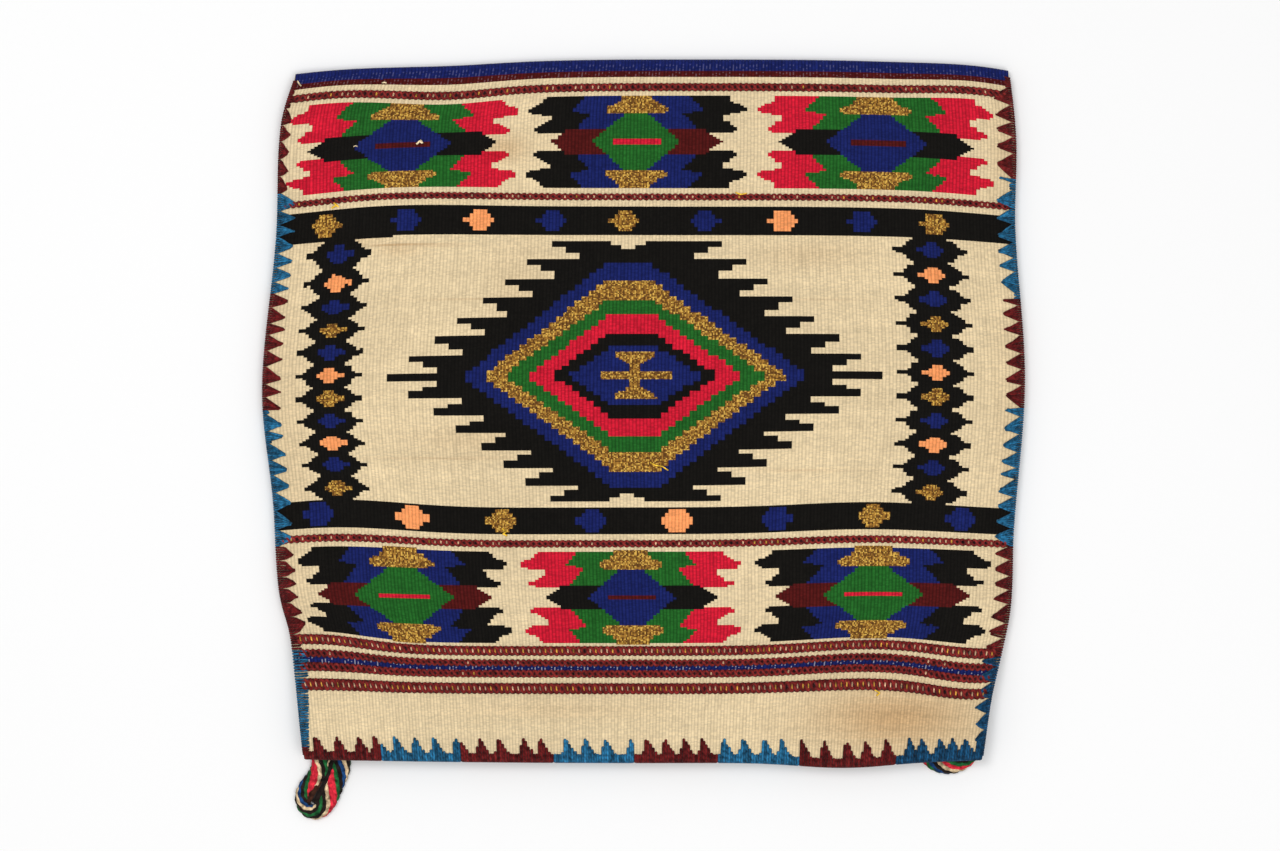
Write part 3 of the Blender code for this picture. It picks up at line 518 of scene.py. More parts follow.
def run_length(path):
    """How far each point lies along a path."""
    return np.concatenate([[0.0], np.cumsum(np.linalg.norm(np.diff(path, axis=0), axis=1))])


# ---- fields of colour ----

def box_outline(across, down, wide, tall):
    """A box about a place, by its half width and half height."""
    return [
        (across + side * wide, down + end * tall) for side, end in ((-1, -1), (1, -1), (1, 1), (-1, 1))
    ]


def stripe_lines():
    """Where the field starts and ends, and the colour, start and end of each stripe above and below it."""
    above, below = [], []
    top, end = 0.0, BAG_DEPTH
    for colour, width in STRIPES_ABOVE:
        above.append((colour, top, top + width))
        top += width
    for colour, width in STRIPES_BELOW[::-1]:
        below.append((colour, end - width, end))
        end -= width
    return top, end, above, below[::-1]


FIELD_TOP, FIELD_END, LINES_ABOVE, LINES_BELOW = stripe_lines()
# Each twined row: name, stripe, height, yarn radius, and how many of its links show pale or gold.
TWINED = (
    ("above_1", LINES_ABOVE[4], 0.0048, 0.00088, 0.30), ("above_2", LINES_ABOVE[8], 0.0040, 0.00078, 0.35),
    ("below_1", LINES_BELOW[2], 0.0043, 0.00082, 0.40), ("below_2", LINES_BELOW[6], 0.0057, 0.00096, 0.95),
    ("below_3", LINES_BELOW[12], 0.0064, 0.00104, 0.95), ("below_4", LINES_BELOW[8], 0.0042, 0.00082, 0.05),
    ("below_5", LINES_BELOW[10], 0.0045, 0.00086, 0.05),
)
SPECKLED = (
    (LINES_ABOVE[0], 0.16), (LINES_ABOVE[2], 0.20), (LINES_BELOW[8], 0.4), (LINES_BELOW[9], 0.9),
    (LINES_BELOW[10], 0.5),
)


def four_ways(outline, across, down, colour, spread=1.0):
    """A quarter outline in photo pixels, mirrored both ways about a place."""
    return [
        ([(across + x * turn_x, down + y * turn_y) for x, y in outline], colour)
        for turn_x in (-PIXEL * spread, PIXEL * spread) for turn_y in (-PIXEL, PIXEL)
    ]


def winged_motif(across, down, spreads, wing, body, arm, heart, bar):
    """A winged lozenge. Its three spreads widen the wings, the arms and the heart."""
    fields = []
    for outline, colour, spread in (
        (WING, wing, 0), (BODY, body, 0), (ARM, arm, 1), (CAP, "gold", 1), (HEART, heart, 2), (BAR, bar, 1),
    ):
        fields += four_ways(outline, across, down, colour, spreads[spread])
    return fields


def star(across, down, colour, steps):
    """A stepped star of crossing boxes."""
    return [(box_outline(across, down, *step), colour) for step in steps]


def stepped_ring(across, down, half_width, half_height, colour):
    """A long hexagon with woven steps. It leans towards the left above its middle."""
    fields = []
    count = round((half_width - MEDALLION_FLAT) / MEDALLION_STEP)
    for sign in (-1.0, 1.0):
        for step in range(count + 1):
            width = half_width - (half_width - MEDALLION_FLAT) * step / count
            middle = down + sign * half_height * (step + 0.5) / (count + 1)
            lean = MEDALLION_LEAN * (step + 0.5) / (count + 1) * half_height / MEDALLION_RINGS[0][2]
            place = across + (lean if sign < 0.0 else 0.0)
            height = half_height / (count + 1) / 2.0 + STEP_OVERLAP
            fields.append((box_outline(place, middle, width, height), colour))
    return fields


def medallion_fields():
    """The toothed black ground, its notches at the top and bottom, the rings and the sign."""
    across, down = MEDALLION_PLACE
    fields = []
    middle = TOOTH_HEIGHT / 2.0
    for total, sign in ((FIELD_END - FIELD_MARGIN - down, 1.0), (down - FIELD_TOP - FIELD_MARGIN, -1.0)):
        pitch = (total - middle) / TEETH
        third = (pitch - TOOTH_HEIGHT) / 2.0
        place = middle
        fields.append((box_outline(across, down, TOOTH_TIP, middle), "black"))
        for tooth in range(1, TEETH + 1):
            for cut in TOOTH_CUTS:
                height = third if cut else TOOTH_HEIGHT
                centre = down + sign * (place + height / 2.0)
                width = TOOTH_TIP - TOOTH_STEP * tooth - cut
                fields.append((box_outline(across, centre, width, height / 2.0), "black"))
                place += height
        for half, deep in NOTCHES:
            centre = down + sign * total - sign * deep * PIXEL / 2.0
            box = box_outline(across + MEDALLION_LEAN, centre, half * PIXEL, deep * PIXEL / 2.0)
            fields.append((box, "cream"))
    for colour, half_width, half_height in MEDALLION_RINGS:
        fields += stepped_ring(across, down, half_width, half_height, colour)
    return fields + four_ways(SIGN, across, down, "gold")


def lozenge_column(across, share):
    """A column of lozenges down the field, each with a star. Its share widens or narrows them."""
    pitch = (FIELD_END - FIELD_TOP) / len(COLUMN_STARS)
    outline = [(x * share, y * pitch / PIXEL / LOZENGE_HEIGHT) for x, y in LOZENGE]
    fields = []
    for index, colour in enumerate(COLUMN_STARS):
        middle = FIELD_TOP + (index + 0.5) * pitch
        fields += four_ways(outline, across, middle, "black")
        fields += star(across, middle, colour, COLUMN_STAR)
    return fields


def front_fields():
    """Every field of colour on the front leaf, later ones over earlier ones."""
    fields = []
    twined = [entry[1] for entry in TWINED]
    for line in LINES_ABOVE + LINES_BELOW:
        colour, start, end = line
        height = (end - start) / 2.0 * (TWINED_GROUND if line in twined else 1.0)
        fields.append((box_outline(0.0, (start + end) / 2.0, HALF, height), colour))
    for across, share in COLUMN_PLACES:
        fields += lozenge_column(across, share)
    fields += medallion_fields()
    for line, stars in ((LINES_ABOVE[-1], STARS_ABOVE), (LINES_BELOW[0], STARS_BELOW)):
        down = (line[1] + line[2]) / 2.0
        for pixel, colour in stars:
            fields += star(float(across_at(pixel, down)), down, colour, BAND_STAR)
    for row, line in enumerate((LINES_ABOVE[MOTIF_BAND_ABOVE], LINES_BELOW[MOTIF_BAND_BELOW])):
        down = (line[1] + line[2]) / 2.0
        for column, (across, spreads) in enumerate(zip(MOTIF_PLACES[row], MOTIF_SPREADS[row])):
            fields += winged_motif(across, down, spreads, *MOTIF_WAYS[(row + column) % 2])
    return fields


def back_fields():
    """The plain stripes of the back leaf."""
    fields = []
    place = 0.0
    for colour, width in STRIPES_BACK:
        fields.append((box_outline(0.0, place + width / 2.0, HALF, width / 2.0), colour))
        place += width
    return fields


def painted(fields, across, marks, wobble):
    """The yarn of each woven cell: an index into COLOURS, by rows down and ribs across."""
    names = list(COLOURS)
    down = (marks[:-1] + marks[1:]) / 2.0
    grid_x, grid_y = np.meshgrid(across, down)
    grid_y = grid_y + wobble[None, :] - bells(DRIFTS, grid_x, grid_y)
    index = np.zeros(grid_x.shape, dtype=int)
    for outline, colour in fields:
        outline = [(x, float(marks[np.argmin(np.abs(marks - y))])) for x, y in outline]
        ends = [y for _, y in outline]
        room_above, room_below = OUTLINE_ROOM
        rows = np.nonzero((down > min(ends) - room_above) & (down < max(ends) + room_below))[0]
        if len(rows) == 0:
            continue
        part = slice(rows[0], rows[-1] + 1)
        px = grid_x[part]
        py = grid_y[part]
        inside = np.zeros(px.shape, dtype=bool)
        for (x0, y0), (x1, y1) in zip(outline, outline[1:] + outline[:1]):
            if y0 == y1:
                continue
            crossing = (py >= min(y0, y1)) & (py < max(y0, y1))
            inside ^= crossing & (px < x0 + (py - y0) * (x1 - x0) / (y1 - y0))
        index[part][inside] = names.index(colour)
    return index


# ---- meshes ----

def new_piece(name, points, faces, uv):
    """A mesh object from points and faces, with one map entry for each face corner."""
    mesh = bpy.data.meshes.new(name)
    mesh.from_pydata(points if isinstance(points, list) else points.tolist(), [], faces)
    piece = bpy.data.objects.new(name, mesh)
    bpy.context.scene.collection.objects.link(piece)
    layer = mesh.uv_layers.new(name="thread")
    layer.data.foreach_set("uv", np.asarray(uv, dtype=np.float32).ravel())
    mesh.polygons.foreach_set("use_smooth", [True] * len(mesh.polygons))
    mesh.update()
    return piece


def yarn_piece(name, strands, material, sides=6, level=False):
    """Closed yarn tubes. A strand is (points, radius along the cloth, radius off it, colour).

    The tube turns with its path, or stays level where the yarn lies flat all along."""
    points, faces, uv, paint = [], [], [], []
    turns = np.arange(sides) * 2.0 * math.pi / sides
    up = np.array([0.0, 0.0, 1.0])
    for path, wide, thick, colour in strands:
        path = np.asarray(path)
        ahead = np.gradient(path, axis=0)
        ahead /= np.linalg.norm(ahead, axis=1)[:, None]
        first = np.cross(ahead[0], up)
        if np.linalg.norm(first) < 0.2:
            first = np.cross(ahead[0], [1.0, 0.0, 0.0])
        sideways = first / np.linalg.norm(first)
        base = len(points)
        length = run_length(path) / (2.0 * wide)
        for place, direction in zip(path, ahead):
            if level:
                sideways = np.cross(direction, up)
            sideways = sideways - direction * np.dot(sideways, direction)
            sideways /= np.linalg.norm(sideways)
            off = np.cross(direction, sideways)
            ring = place + np.outer(np.cos(turns) * wide, sideways) + np.outer(np.sin(turns) * thick, off)
            points.extend(ring.tolist())
        for step, (v0, v1) in enumerate(zip(length, length[1:])):
            near = base + step * sides
            for side in range(sides):
                after = (side + 1) % sides
                faces.append([near + side, near + after, near + sides + after, near + sides + side])
                u0, u1 = side / sides, (side + 1) / sides
                uv += [(u0, v0), (u1, v0), (u1, v1), (u0, v1)]
        last = base + (len(path) - 1) * sides
        faces.append([base + side for side in range(sides)][::-1])
        faces.append([last + side for side in range(sides)])
        uv += [(0.5, 0.0)] * sides + [(0.5, length[-1])] * sides
        paint += [(*colour, 1.0)] * (len(path) * sides)
    piece = new_piece(name, points, faces, uv)
    layer = piece.data.attributes.new("yarn", "FLOAT_COLOR", "POINT")
    layer.data.foreach_set("color", np.array(paint, dtype=np.float32).ravel())
    piece.data.materials.append(material)
    return piece


# ---- materials ----

class Nodes:
    """Short names for adding and joining shader nodes."""

    def __init__(self, name):
        self.material = bpy.data.materials.new(name)
        self.material.use_nodes = True
        self.tree = self.material.node_tree
        self.shader = self.tree.nodes["Principled BSDF"]

    def put(self, target, value):
        if isinstance(value, bpy.types.NodeSocket):
            self.tree.links.new(value, target)
        else:
            target.default_value = value

    def maths(self, operation, *values):
        node = self.tree.nodes.new("ShaderNodeMath")
        node.operation = operation
        for socket, value in zip(node.inputs, values):
            self.put(socket, value)
        return node.outputs[0]

    def mix(self, factor, first, second, blend="MIX"):
        node = self.tree.nodes.new("ShaderNodeMix")
        node.data_type = "RGBA"
        node.blend_type = blend
        self.put(node.inputs[0], factor)
        self.put(node.inputs[6], first)
        self.put(node.inputs[7], second)
        return node.outputs[2]

    def attribute(self, name, output="Color"):
        node = self.tree.nodes.new("ShaderNodeAttribute")
        node.attribute_name = name
        return node.outputs[output]

    def noise(self, vector, scale, detail=2.0):
        node = self.tree.nodes.new("ShaderNodeTexNoise")
        self.put(node.inputs["Vector"], vector)
        self.put(node.inputs["Scale"], scale)
        self.put(node.inputs["Detail"], detail)
        return node.outputs[0]

    def white(self, vector):
        node = self.tree.nodes.new("ShaderNodeTexWhiteNoise")
        node.noise_dimensions = "2D"
        self.put(node.inputs["Vector"], vector)
        return node.outputs[0]

    def thread(self):
        node = self.tree.nodes.new("ShaderNodeUVMap")
        node.uv_map = "thread"
        parts = self.tree.nodes.new("ShaderNodeSeparateXYZ")
        self.put(parts.inputs[0], node.outputs[0])
        return parts.outputs[0], parts.outputs[1]

    def vector(self, x, y):
        node = self.tree.nodes.new("ShaderNodeCombineXYZ")
        self.put(node.inputs[0], x)
        self.put(node.inputs[1], y)
        return node.outputs[0]

    def objects(self):
        return self.tree.nodes.new("ShaderNodeTexCoord").outputs["Object"]

    def brightness(self, colour):
        node = self.tree.nodes.new("ShaderNodeRGBToBW")
        self.put(node.inputs[0], colour)
        return node.outputs[0]

    def product(self, first, *others):
        for other in others:
            first = self.maths("MULTIPLY", first, other)
        return first

    def line(self, value, slope, start):
        """The value times a slope, plus a start."""
        return self.maths("MULTIPLY_ADD", value, slope, start)

    def span(self, value, low, high):
        """A value from 0 to 1 spread over low to high."""
        return self.line(value, high - low, low)

    def swing(self, value, amount):
        """1, and a little more or less as a value from 0 to 1 strays from its middle."""
        return self.line(self.maths("SUBTRACT", value, 0.5), amount, 1.0)

    def ridge(self, value):
        """A round ridge over each whole step of a value."""
        return self.maths("ABSOLUTE", self.maths("SINE", self.product(value, math.pi)))

    def grey(self, value):
        node = self.tree.nodes.new("ShaderNodeCombineColor")
        for socket in node.inputs[:3]:
            self.put(socket, value)
        return node.outputs[0]

    def toned(self, colour, value):
        return self.mix(1.0, colour, self.grey(value), "MULTIPLY")

    def finish(self, colour, height, distance, roughness, sheen):
        bump = self.tree.nodes.new("ShaderNodeBump")
        bump.inputs["Strength"].default_value = 1.0
        bump.inputs["Distance"].default_value = distance
        self.put(bump.inputs["Height"], height)
        self.put(self.shader.inputs["Normal"], bump.outputs[0])
        self.put(self.shader.inputs["Base Color"], colour)
        self.put(self.shader.inputs["Roughness"], roughness)
        self.shader.inputs["Specular IOR Level"].default_value = 0.06
        self.shader.inputs["Sheen Weight"].default_value = sheen
        self.shader.inputs["Sheen Roughness"].default_value = 0.5
        return self.material


def woven_wool(stain):
    """Weft-faced wool: ribs run down the cloth, wefts cross them, colour comes from the weave."""
    n = Nodes("woven wool")
    u, v = n.thread()
    rib = n.ridge(u)
    beat = n.maths("ADD", v, n.product(n.maths("MODULO", n.maths("FLOOR", u), 2.0), 0.5))
    weft = n.ridge(beat)
    chance = n.white(n.vector(n.maths("FLOOR", u), n.maths("FLOOR", beat)))
    fine = n.white(n.vector(n.maths("FLOOR", n.product(u, 2.5)), n.maths("FLOOR", v)))
    paint = n.attribute("yarn")
    gold = n.attribute("tinsel", "Fac")
    bright = n.brightness(paint)

    # the dye is uneven along a weft, from band to band and in clouds over the cloth; the valleys between ribs
    # and between wefts are painted darker as painted shade
    streak = n.noise(n.vector(n.product(u, 0.9), n.product(v, 0.035)), 1.0, 3.0)
    abrash = n.noise(n.vector(n.product(u, 0.010), n.product(v, 0.16)), 1.0, 3.0)
    cloudy = n.noise(n.objects(), 16.0, 3.0)
    # painted shade: each rib is darker in its valleys, more so for darker yarns
    painted_valley_shade = n.line(bright, 0.44, 0.62)
    value = n.product(
        n.span(abrash, 0.88, 1.12), n.swing(streak, n.line(bright, -0.55, 0.75)), n.span(cloudy, 0.90, 1.10),
        n.swing(chance, n.line(bright, -0.30, 0.40)), n.line(rib, n.maths("SUBTRACT", 1.09, painted_valley_shade), painted_valley_shade),
        n.span(weft, 0.92, 1.03),
    )
    colour = n.toned(paint, value)

    # tinsel and gold wool in a deep and a middle tone with a painted glint, darker in the rib valleys as
    # painted shade; light flecks on the crowns of ribs; old stains
    deep, middle, glint = TINSEL_TONES
    flecks = n.mix(n.maths("GREATER_THAN", fine, 0.42), deep, middle)
    flecks = n.mix(n.maths("GREATER_THAN", fine, 0.80), flecks, glint)
    colour = n.mix(gold, colour, n.toned(flecks, n.span(rib, 0.70, 1.12)))
    crown = n.maths("LESS_THAN", n.maths("ABSOLUTE", n.maths("SUBTRACT", n.maths("FRACT", u), 0.5)), 0.17)
    shown = n.product(n.attribute("speck", "Fac"), crown, n.maths("GREATER_THAN", chance, 0.45))
    colour = n.mix(shown, colour, SPECK_TONE)
    # stains, and the darkening along the side edges of the front leaf
    colour = n.mix(n.attribute("stain", "Fac"), colour, n.mix(1.0, colour, (*stain, 1.0), "MULTIPLY"))

    fuzz = n.noise(n.objects(), 2600.0, 2.0)
    height = n.line(fuzz, 0.35, n.maths("ADD", rib, n.product(weft, 0.30)))
    return n.finish(colour, height, WOOL_RELIEF, n.line(gold, -0.35, 0.92), 0.05)


def twisted_yarn(name, painted_side_shade=0.34):
    """Plied wool: two plies wind round the strand, with loose hairs and uneven dye, a painted highlight on
    its top and painted shade at its sides and between the plies.
    """
    n = Nodes(name)
    u, v = n.thread()
    ply = n.ridge(n.line(v, 0.55, n.product(u, 2.0)))
    blotch = n.noise(n.objects(), 420.0, 3.0)
    long = n.noise(n.objects(), 70.0, 2.0)
    # the crown: a painted highlight along the top of each strand, painted shade down its sides
    crown = n.maths("MAXIMUM", n.maths("SINE", n.product(u, -2.0 * math.pi)), 0.0)
    # the grooves between the plies are painted darker as painted shade
    value = n.product(
        n.span(crown, painted_side_shade, 1.30), n.maths("MAXIMUM", n.span(blotch, -0.60, 2.60), 0.35),
        n.span(ply, 0.78, 1.12), n.span(long, 0.80, 1.20),
    )
    hair = n.noise(n.objects(), 3200.0, 2.0)
    return n.finish(n.toned(n.attribute("yarn"), value), n.line(hair, 0.5, ply), YARN_RELIEF, 0.9, 0.08)


def shaded(colour, chance, spread=0.12):
    """A yarn colour a little lighter or darker."""
    factor = 1.0 + chance.uniform(-spread, spread)
    return tuple(min(part * factor, 1.0) for part in colour)


# ---- the cloth ----

def add_rows(marks, end, size):
    """Adds even rows of about one size, down to the end of a stripe."""
    start = marks[-1]
    count = max(1, round((end - start) / size))
    marks += [start + (end - start) * part / count for part in range(1, count + 1)]


def front_rows(step):
    """Woven rows of the front leaf, a row's edge on each edge of a stripe."""
    marks = [FOLD_REACH]
    for _, _, end in LINES_ABOVE + [("field", FIELD_TOP, FIELD_END)] + LINES_BELOW:
        if end - marks[-1] >= ROW_LEAST:
            add_rows(marks, end, 3.0 * step if end > BAG_DEPTH - GAP else step)
    return np.array(marks)


def back_rows():
    """Rows of the plain back leaf, a row's edge on each edge of a stripe."""
    marks = [FOLD_REACH]
    place = 0.0
    for _, width in list(STRIPES_BACK) + [("cream", BAG_DEPTH - sum(width for _, width in STRIPES_BACK))]:
        place += width
        add_rows(marks, place, BACK_ROW)
    return np.array(marks)


def leaf_lines(face, columns, rows):
    """Lines of points across one face of a leaf, each with its place down the weave."""
    return [(on_cloth(face, columns, row), row) for row in rows]


def fold_lines(columns, turns, thick):
    """Lines of points round the fold, at a depth below its outer face."""
    front_edge = on_cloth("front_outer", columns, FOLD_REACH)
    back_edge = on_cloth("back_outer", columns, FOLD_REACH)
    middle = (front_edge[:, 2] + back_edge[:, 2]) / 2.0
    half = (front_edge[:, 2] - back_edge[:, 2]) / 2.0 - thick
    lines = []
    for turn in turns:
        line = front_edge.copy()
        line[:, 1] += (FOLD_REACH - thick) * math.sin(turn)
        line[:, 2] = middle + half * math.cos(turn)
        lines.append((line, FOLD_REACH * math.cos(turn)))
    return lines


def side_wall(points, outer, lining, turned):
    """Triangles over the cloth's cut side, between the edges of its outer and inner faces."""
    outer_run, lining_run = run_length(points[outer]), run_length(points[lining])
    outer_run /= outer_run[-1]
    lining_run /= lining_run[-1]
    faces = []
    i = j = 0
    while i < len(outer) - 1 or j < len(lining) - 1:
        if j == len(lining) - 1 or (i < len(outer) - 1 and outer_run[i + 1] <= lining_run[j + 1]):
            face = [outer[i], outer[i + 1], lining[j]]
            i += 1
        else:
            face = [outer[i], lining[j + 1], lining[j]]
            j += 1
        faces.append(face if turned else face[::-1])
    return faces


def stained_cells(centres, middles):
    """How strongly each woven cell of the front leaf is stained, and how much darker it is made along the
    side edges.
    """
    x, y = plan(*np.meshgrid(centres, middles))
    stain = np.zeros(x.shape)
    for column, row, wide, tall, amount in STAINS:
        across = (x / PIXEL + MIDDLE_COLUMN - column) / wide
        down = (MIDDLE_ROW - y / PIXEL - row) / tall
        stain = np.maximum(stain, amount * np.exp(-across ** 2 - down ** 2))
    return stain


class KILIM_OT_weave_cloth(bpy.types.Operator):
    """Weave the folded cloth: both leaves, the fold and the pattern"""

    bl_idname = "kilim.weave_cloth"
    bl_label = "Weave Cloth"

    def execute(self, context):
        sizes = context.scene.kilim_bag
        ribs = sizes.ribs
        columns = np.linspace(-HALF, HALF, ribs + 1)
        front = front_rows(sizes.row_step)
        back = back_rows()
        inner = np.linspace(FOLD_REACH, BAG_DEPTH, INNER_ROWS)
        bend = np.linspace(0.0, math.pi, BEND_ROWS)[1:-1]
        lines = leaf_lines("front_outer", columns, front) + leaf_lines("front_inner", columns, inner[::-1])
        lines += fold_lines(columns, bend, CLOTH)
        lines += leaf_lines("back_inner", columns, inner) + leaf_lines("back_outer", columns, back[::-1])
        lines += fold_lines(columns, bend[::-1], 0.0)
        ring = len(lines)
        points = np.stack([line for line, _ in lines], axis=0).reshape(-1, 3)
        faces = []
        uv = []
        for row in range(ring):
            after = (row + 1) % ring
            v0, v1 = lines[row][1] / WEFT, lines[after][1] / WEFT
            for rib in range(ribs):
                a = row * (ribs + 1) + rib
                b = after * (ribs + 1) + rib
                faces.append([a, b, b + 1, a + 1])
                uv += [(rib, v0), (rib, v1), (rib + 1, v1), (rib + 1, v0)]
        back_start = len(front) + 2 * len(inner) + len(bend)
        outer_lines = [*range(len(front))][::-1] + [*range(back_start, ring)][::-1]
        for side, turned in ((0, False), (ribs, True)):
            outer = [line * (ribs + 1) + side for line in outer_lines]
            lining = [line * (ribs + 1) + side for line in range(len(front), back_start)]
            faces += side_wall(points, outer, lining, turned)
        edge_faces = faces[ring * ribs:]
        uv += [(0.5, 0.5)] * (3 * len(edge_faces))
        piece = new_piece("kilim_cloth_woven", points, faces, uv)

        chance = np.random.default_rng(7)
        centres = (columns[:-1] + columns[1:]) / 2.0
        middles = (front[:-1] + front[1:]) / 2.0
        wobble = np.clip(chance.normal(0.0, WOBBLE, ribs), -WOBBLE_MOST, WOBBLE_MOST)
        names = list(COLOURS)
        index = np.full((ring, ribs), names.index("cream"))
        index[:len(middles)] = painted(front_fields(), centres, front, wobble)
        back_end = back_start + len(back) - 1
        index[back_start:back_end] = painted(back_fields(), centres, back, wobble * 0.0)[::-1]
        index[back_end:] = names.index("navy")
        palette = {name: (*tone, 1.0) for name, tone in COLOURS.items()}
        colour = np.array(list(palette.values()))[index.ravel()]
        speck = np.zeros((ring, ribs))
        for (_, start, end), amount in SPECKLED:
            for row in np.nonzero((middles > start) & (middles < end))[0]:
                speck[row] = amount * (chance.random(ribs) < SPECK_SHARE)
        stain = np.zeros((ring, ribs))
        stain[:len(middles)] = stained_cells(centres, middles)
        edges = np.array([points[face].mean(axis=0) for face in edge_faces])
        by_fold = edges[:, 1] > SETTLE - FOLD_DROP_LEFT - STRIPES_ABOVE[0][1]
        edge_colour = np.where(by_fold[:, None], palette["navy"], palette["cream"])
        plain = np.zeros(len(edges))
        for name, values, on_edges in (
            ("yarn", colour, edge_colour), ("tinsel", index == names.index("gold"), plain),
            ("speck", speck, plain), ("stain", stain, plain),
        ):
            kind, field = ("FLOAT_COLOR", "color") if name == "yarn" else ("FLOAT", "value")
            layer = piece.data.attributes.new(name, kind, "FACE")
            values = np.concatenate([values.ravel(), on_edges.ravel()])
            layer.data.foreach_set(field, values.astype(np.float32))
        piece.data.materials.append(woven_wool(sizes.stain))
        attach(piece, "root")
        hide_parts("kilim_cloth")
        return {"FINISHED"}


# ---- twined rows ----
class KILIM_OT_twine_rows(bpy.types.Operator):
    """Twine the rows of maroon links across the front leaf"""

    bl_idname = "kilim.twine_rows"
    bl_label = "Twine Rows"

    def execute(self, context):
        sizes = context.scene.kilim_bag
        chance = random.Random(11)
        material = twisted_yarn("twined yarn")
        links = int(round((2.0 * HALF - TWINED_MARGIN) / sizes.link_pitch))
        steps = np.arange(links * LINK_STEPS + 1) / LINK_STEPS
        across = (steps - links / 2.0) * sizes.link_pitch
        for name, line, height, yarn, bright in TWINED:
            strands = []
            middle = (line[1] + line[2]) / 2.0
            swing = height / 2.0 - yarn * 0.8
            for turn in (0.0, 1.0):
                wave = np.sin(math.pi * (steps + turn))
                over = np.cos(math.pi * (steps + turn))
                down = middle + wave * swing + bells(DRIFTS, across, middle)
                path = on_cloth("front_outer", across, down, yarn * (0.5 + 0.3 * over))
                strands.append((path, yarn, yarn * TWINED_FLAT, shaded(YARNS["twined"], chance)))
            half = np.linspace(-1.0, 1.0, len(LINK_LIFTS)) * max(swing - yarn * 0.7, 0.0005)
            lifts = LINK_LIFTS * yarn * 0.7
            pale = 0.45 if bright > 0.9 else 0.75
            for link in range(links):
                shown = chance.random() < bright
                spot = (link + 0.5 - links / 2.0) * sizes.link_pitch
                downs = middle + half + bells(DRIFTS, spot, middle)
                if not shown:
                    tone = YARNS["link shade"]
                else:
                    tone = TWINED_PALE if chance.random() < pale else TWINED_GOLD
                path = on_cloth("front_outer", spot, downs, lifts)
                strands.append((path, *LINK_YARN, shaded(tone, chance, LINK_SHADES)))
            piece = yarn_piece("twined_row_" + name, strands, material, sides=5, level=True)
            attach(piece, "root")
        return {"FINISHED"}


# ---- side seams ----

def round_edge(top, low, axis, out, farther):
    """Joins the two halves of a stitch round an edge, which it clears by out, and farther in between."""
    top[-1, axis] += out
    low[-1, axis] += out
    middle = (top[-1] + low[-1]) / 2.0
    middle[axis] += farther
    return np.concatenate([top, middle[None, :], low[::-1]])


def even_turns(start, end, radius, last):
    """Places of the turns in one length of yarn, from the first turn to the last."""
    room = end - start - 2.0 * radius
    return [start + radius + room * turn / last for turn in range(last + 1)]


def seam_strand(side, place, tip, strip, reach, radius):
    """One turn of overcast yarn over the front leaf, straight for a strip, and back under the other leaf."""
    depth = SEAM_DEPTHS * reach
    share = np.clip((depth - strip) / max(reach - strip, 0.0001), 0.0, 1.0)
    down = place + (tip - place) * share
    lift = SEAM_LIFTS * radius
    top = on_cloth("front_outer", side * (HALF - depth), down, lift)
    under = on_cloth("back_outer", side * (HALF - depth), down, -lift * 0.6)
    out = side * (1.05 * radius)
    return round_edge(top, under, 0, out * 0.6, out * 0.5)


class KILIM_OT_sew_sides(bpy.types.Operator):
    """Overcast both side seams, in lengths of maroon and blue yarn"""

    bl_idname = "kilim.sew_sides"
    bl_label = "Sew Sides"

    def execute(self, context):
        sizes = context.scene.kilim_bag
        chance = random.Random(23)
        material = twisted_yarn("seam yarn")
        radius = sizes.seam_yarn
        sides = ((-1.0, "left", LEFT_SEAM, LEFT_TEETH), (1.0, "right", RIGHT_SEAM, RIGHT_TEETH))
        for side, label, segments, teeth in sides:
            start = FOLD_REACH + SEAM_START
            usable = BAG_DEPTH - SEAM_END - start
            total = sum(length for _, length, _, _ in segments)
            place = start
            for number, (colour, length, strip, deep) in enumerate(segments, 1):
                end = place + usable * length / total
                tips = [down_at(side, pixel) for pixel in teeth[number - 1]]
                count = int((end - place - 2.0 * radius) / sizes.seam_pitch)
                last_length = number == len(segments)
                yarn = YARNS["dark blue" if label == "right" and last_length else colour]
                strands = []
                for turn, spot in enumerate(even_turns(place, end, radius, count - 1)):
                    tooth = next((tip for tip in tips if spot <= tip + SEAM_LAG), tips[-1]) if tips else spot
                    reach = deep * (1.0 - SEAM_TAPER * turn / count * last_length)
                    if tips and abs(tooth - spot) < SEAM_FAN:
                        reach += chance.uniform(*SEAM_RAGGED)
                    elif tips:
                        reach = strip + 0.0008
                        tooth = spot
                    reach += chance.uniform(-0.0003, 0.0003)
                    tip = tooth + (spot - tooth) * 0.10 + chance.uniform(-0.0005, 0.0005)
                    tone = shaded(yarn, chance, TURN_SHADES)
                    path = seam_strand(side, spot, tip, strip, reach, radius)
                    strands.append((path, radius, radius * SEAM_FLAT, tone))
                piece = yarn_piece(f"{label}_seam_stitches_{number}", strands, material)
                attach(piece, "root")
                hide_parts(f"{label}_seam_yarn_{number}")
                place = end
        return {"FINISHED"}


# ---- mouth rims ----

def rim_strand(outer, inner, across, reach, slant, radius):
    """One upright stitch: down one face of the leaf, round its edge and up the other face."""
    depth = RIM_DEPTHS * reach
    lift = RIM_LIFTS * radius
    places = across + slant * (depth / reach)
    top = on_cloth(outer, places, BAG_DEPTH - depth, lift)
    low = on_cloth(inner, places, BAG_DEPTH - depth, -lift)
    return round_edge(top, low, 1, -radius * 0.5, -radius * 0.35)


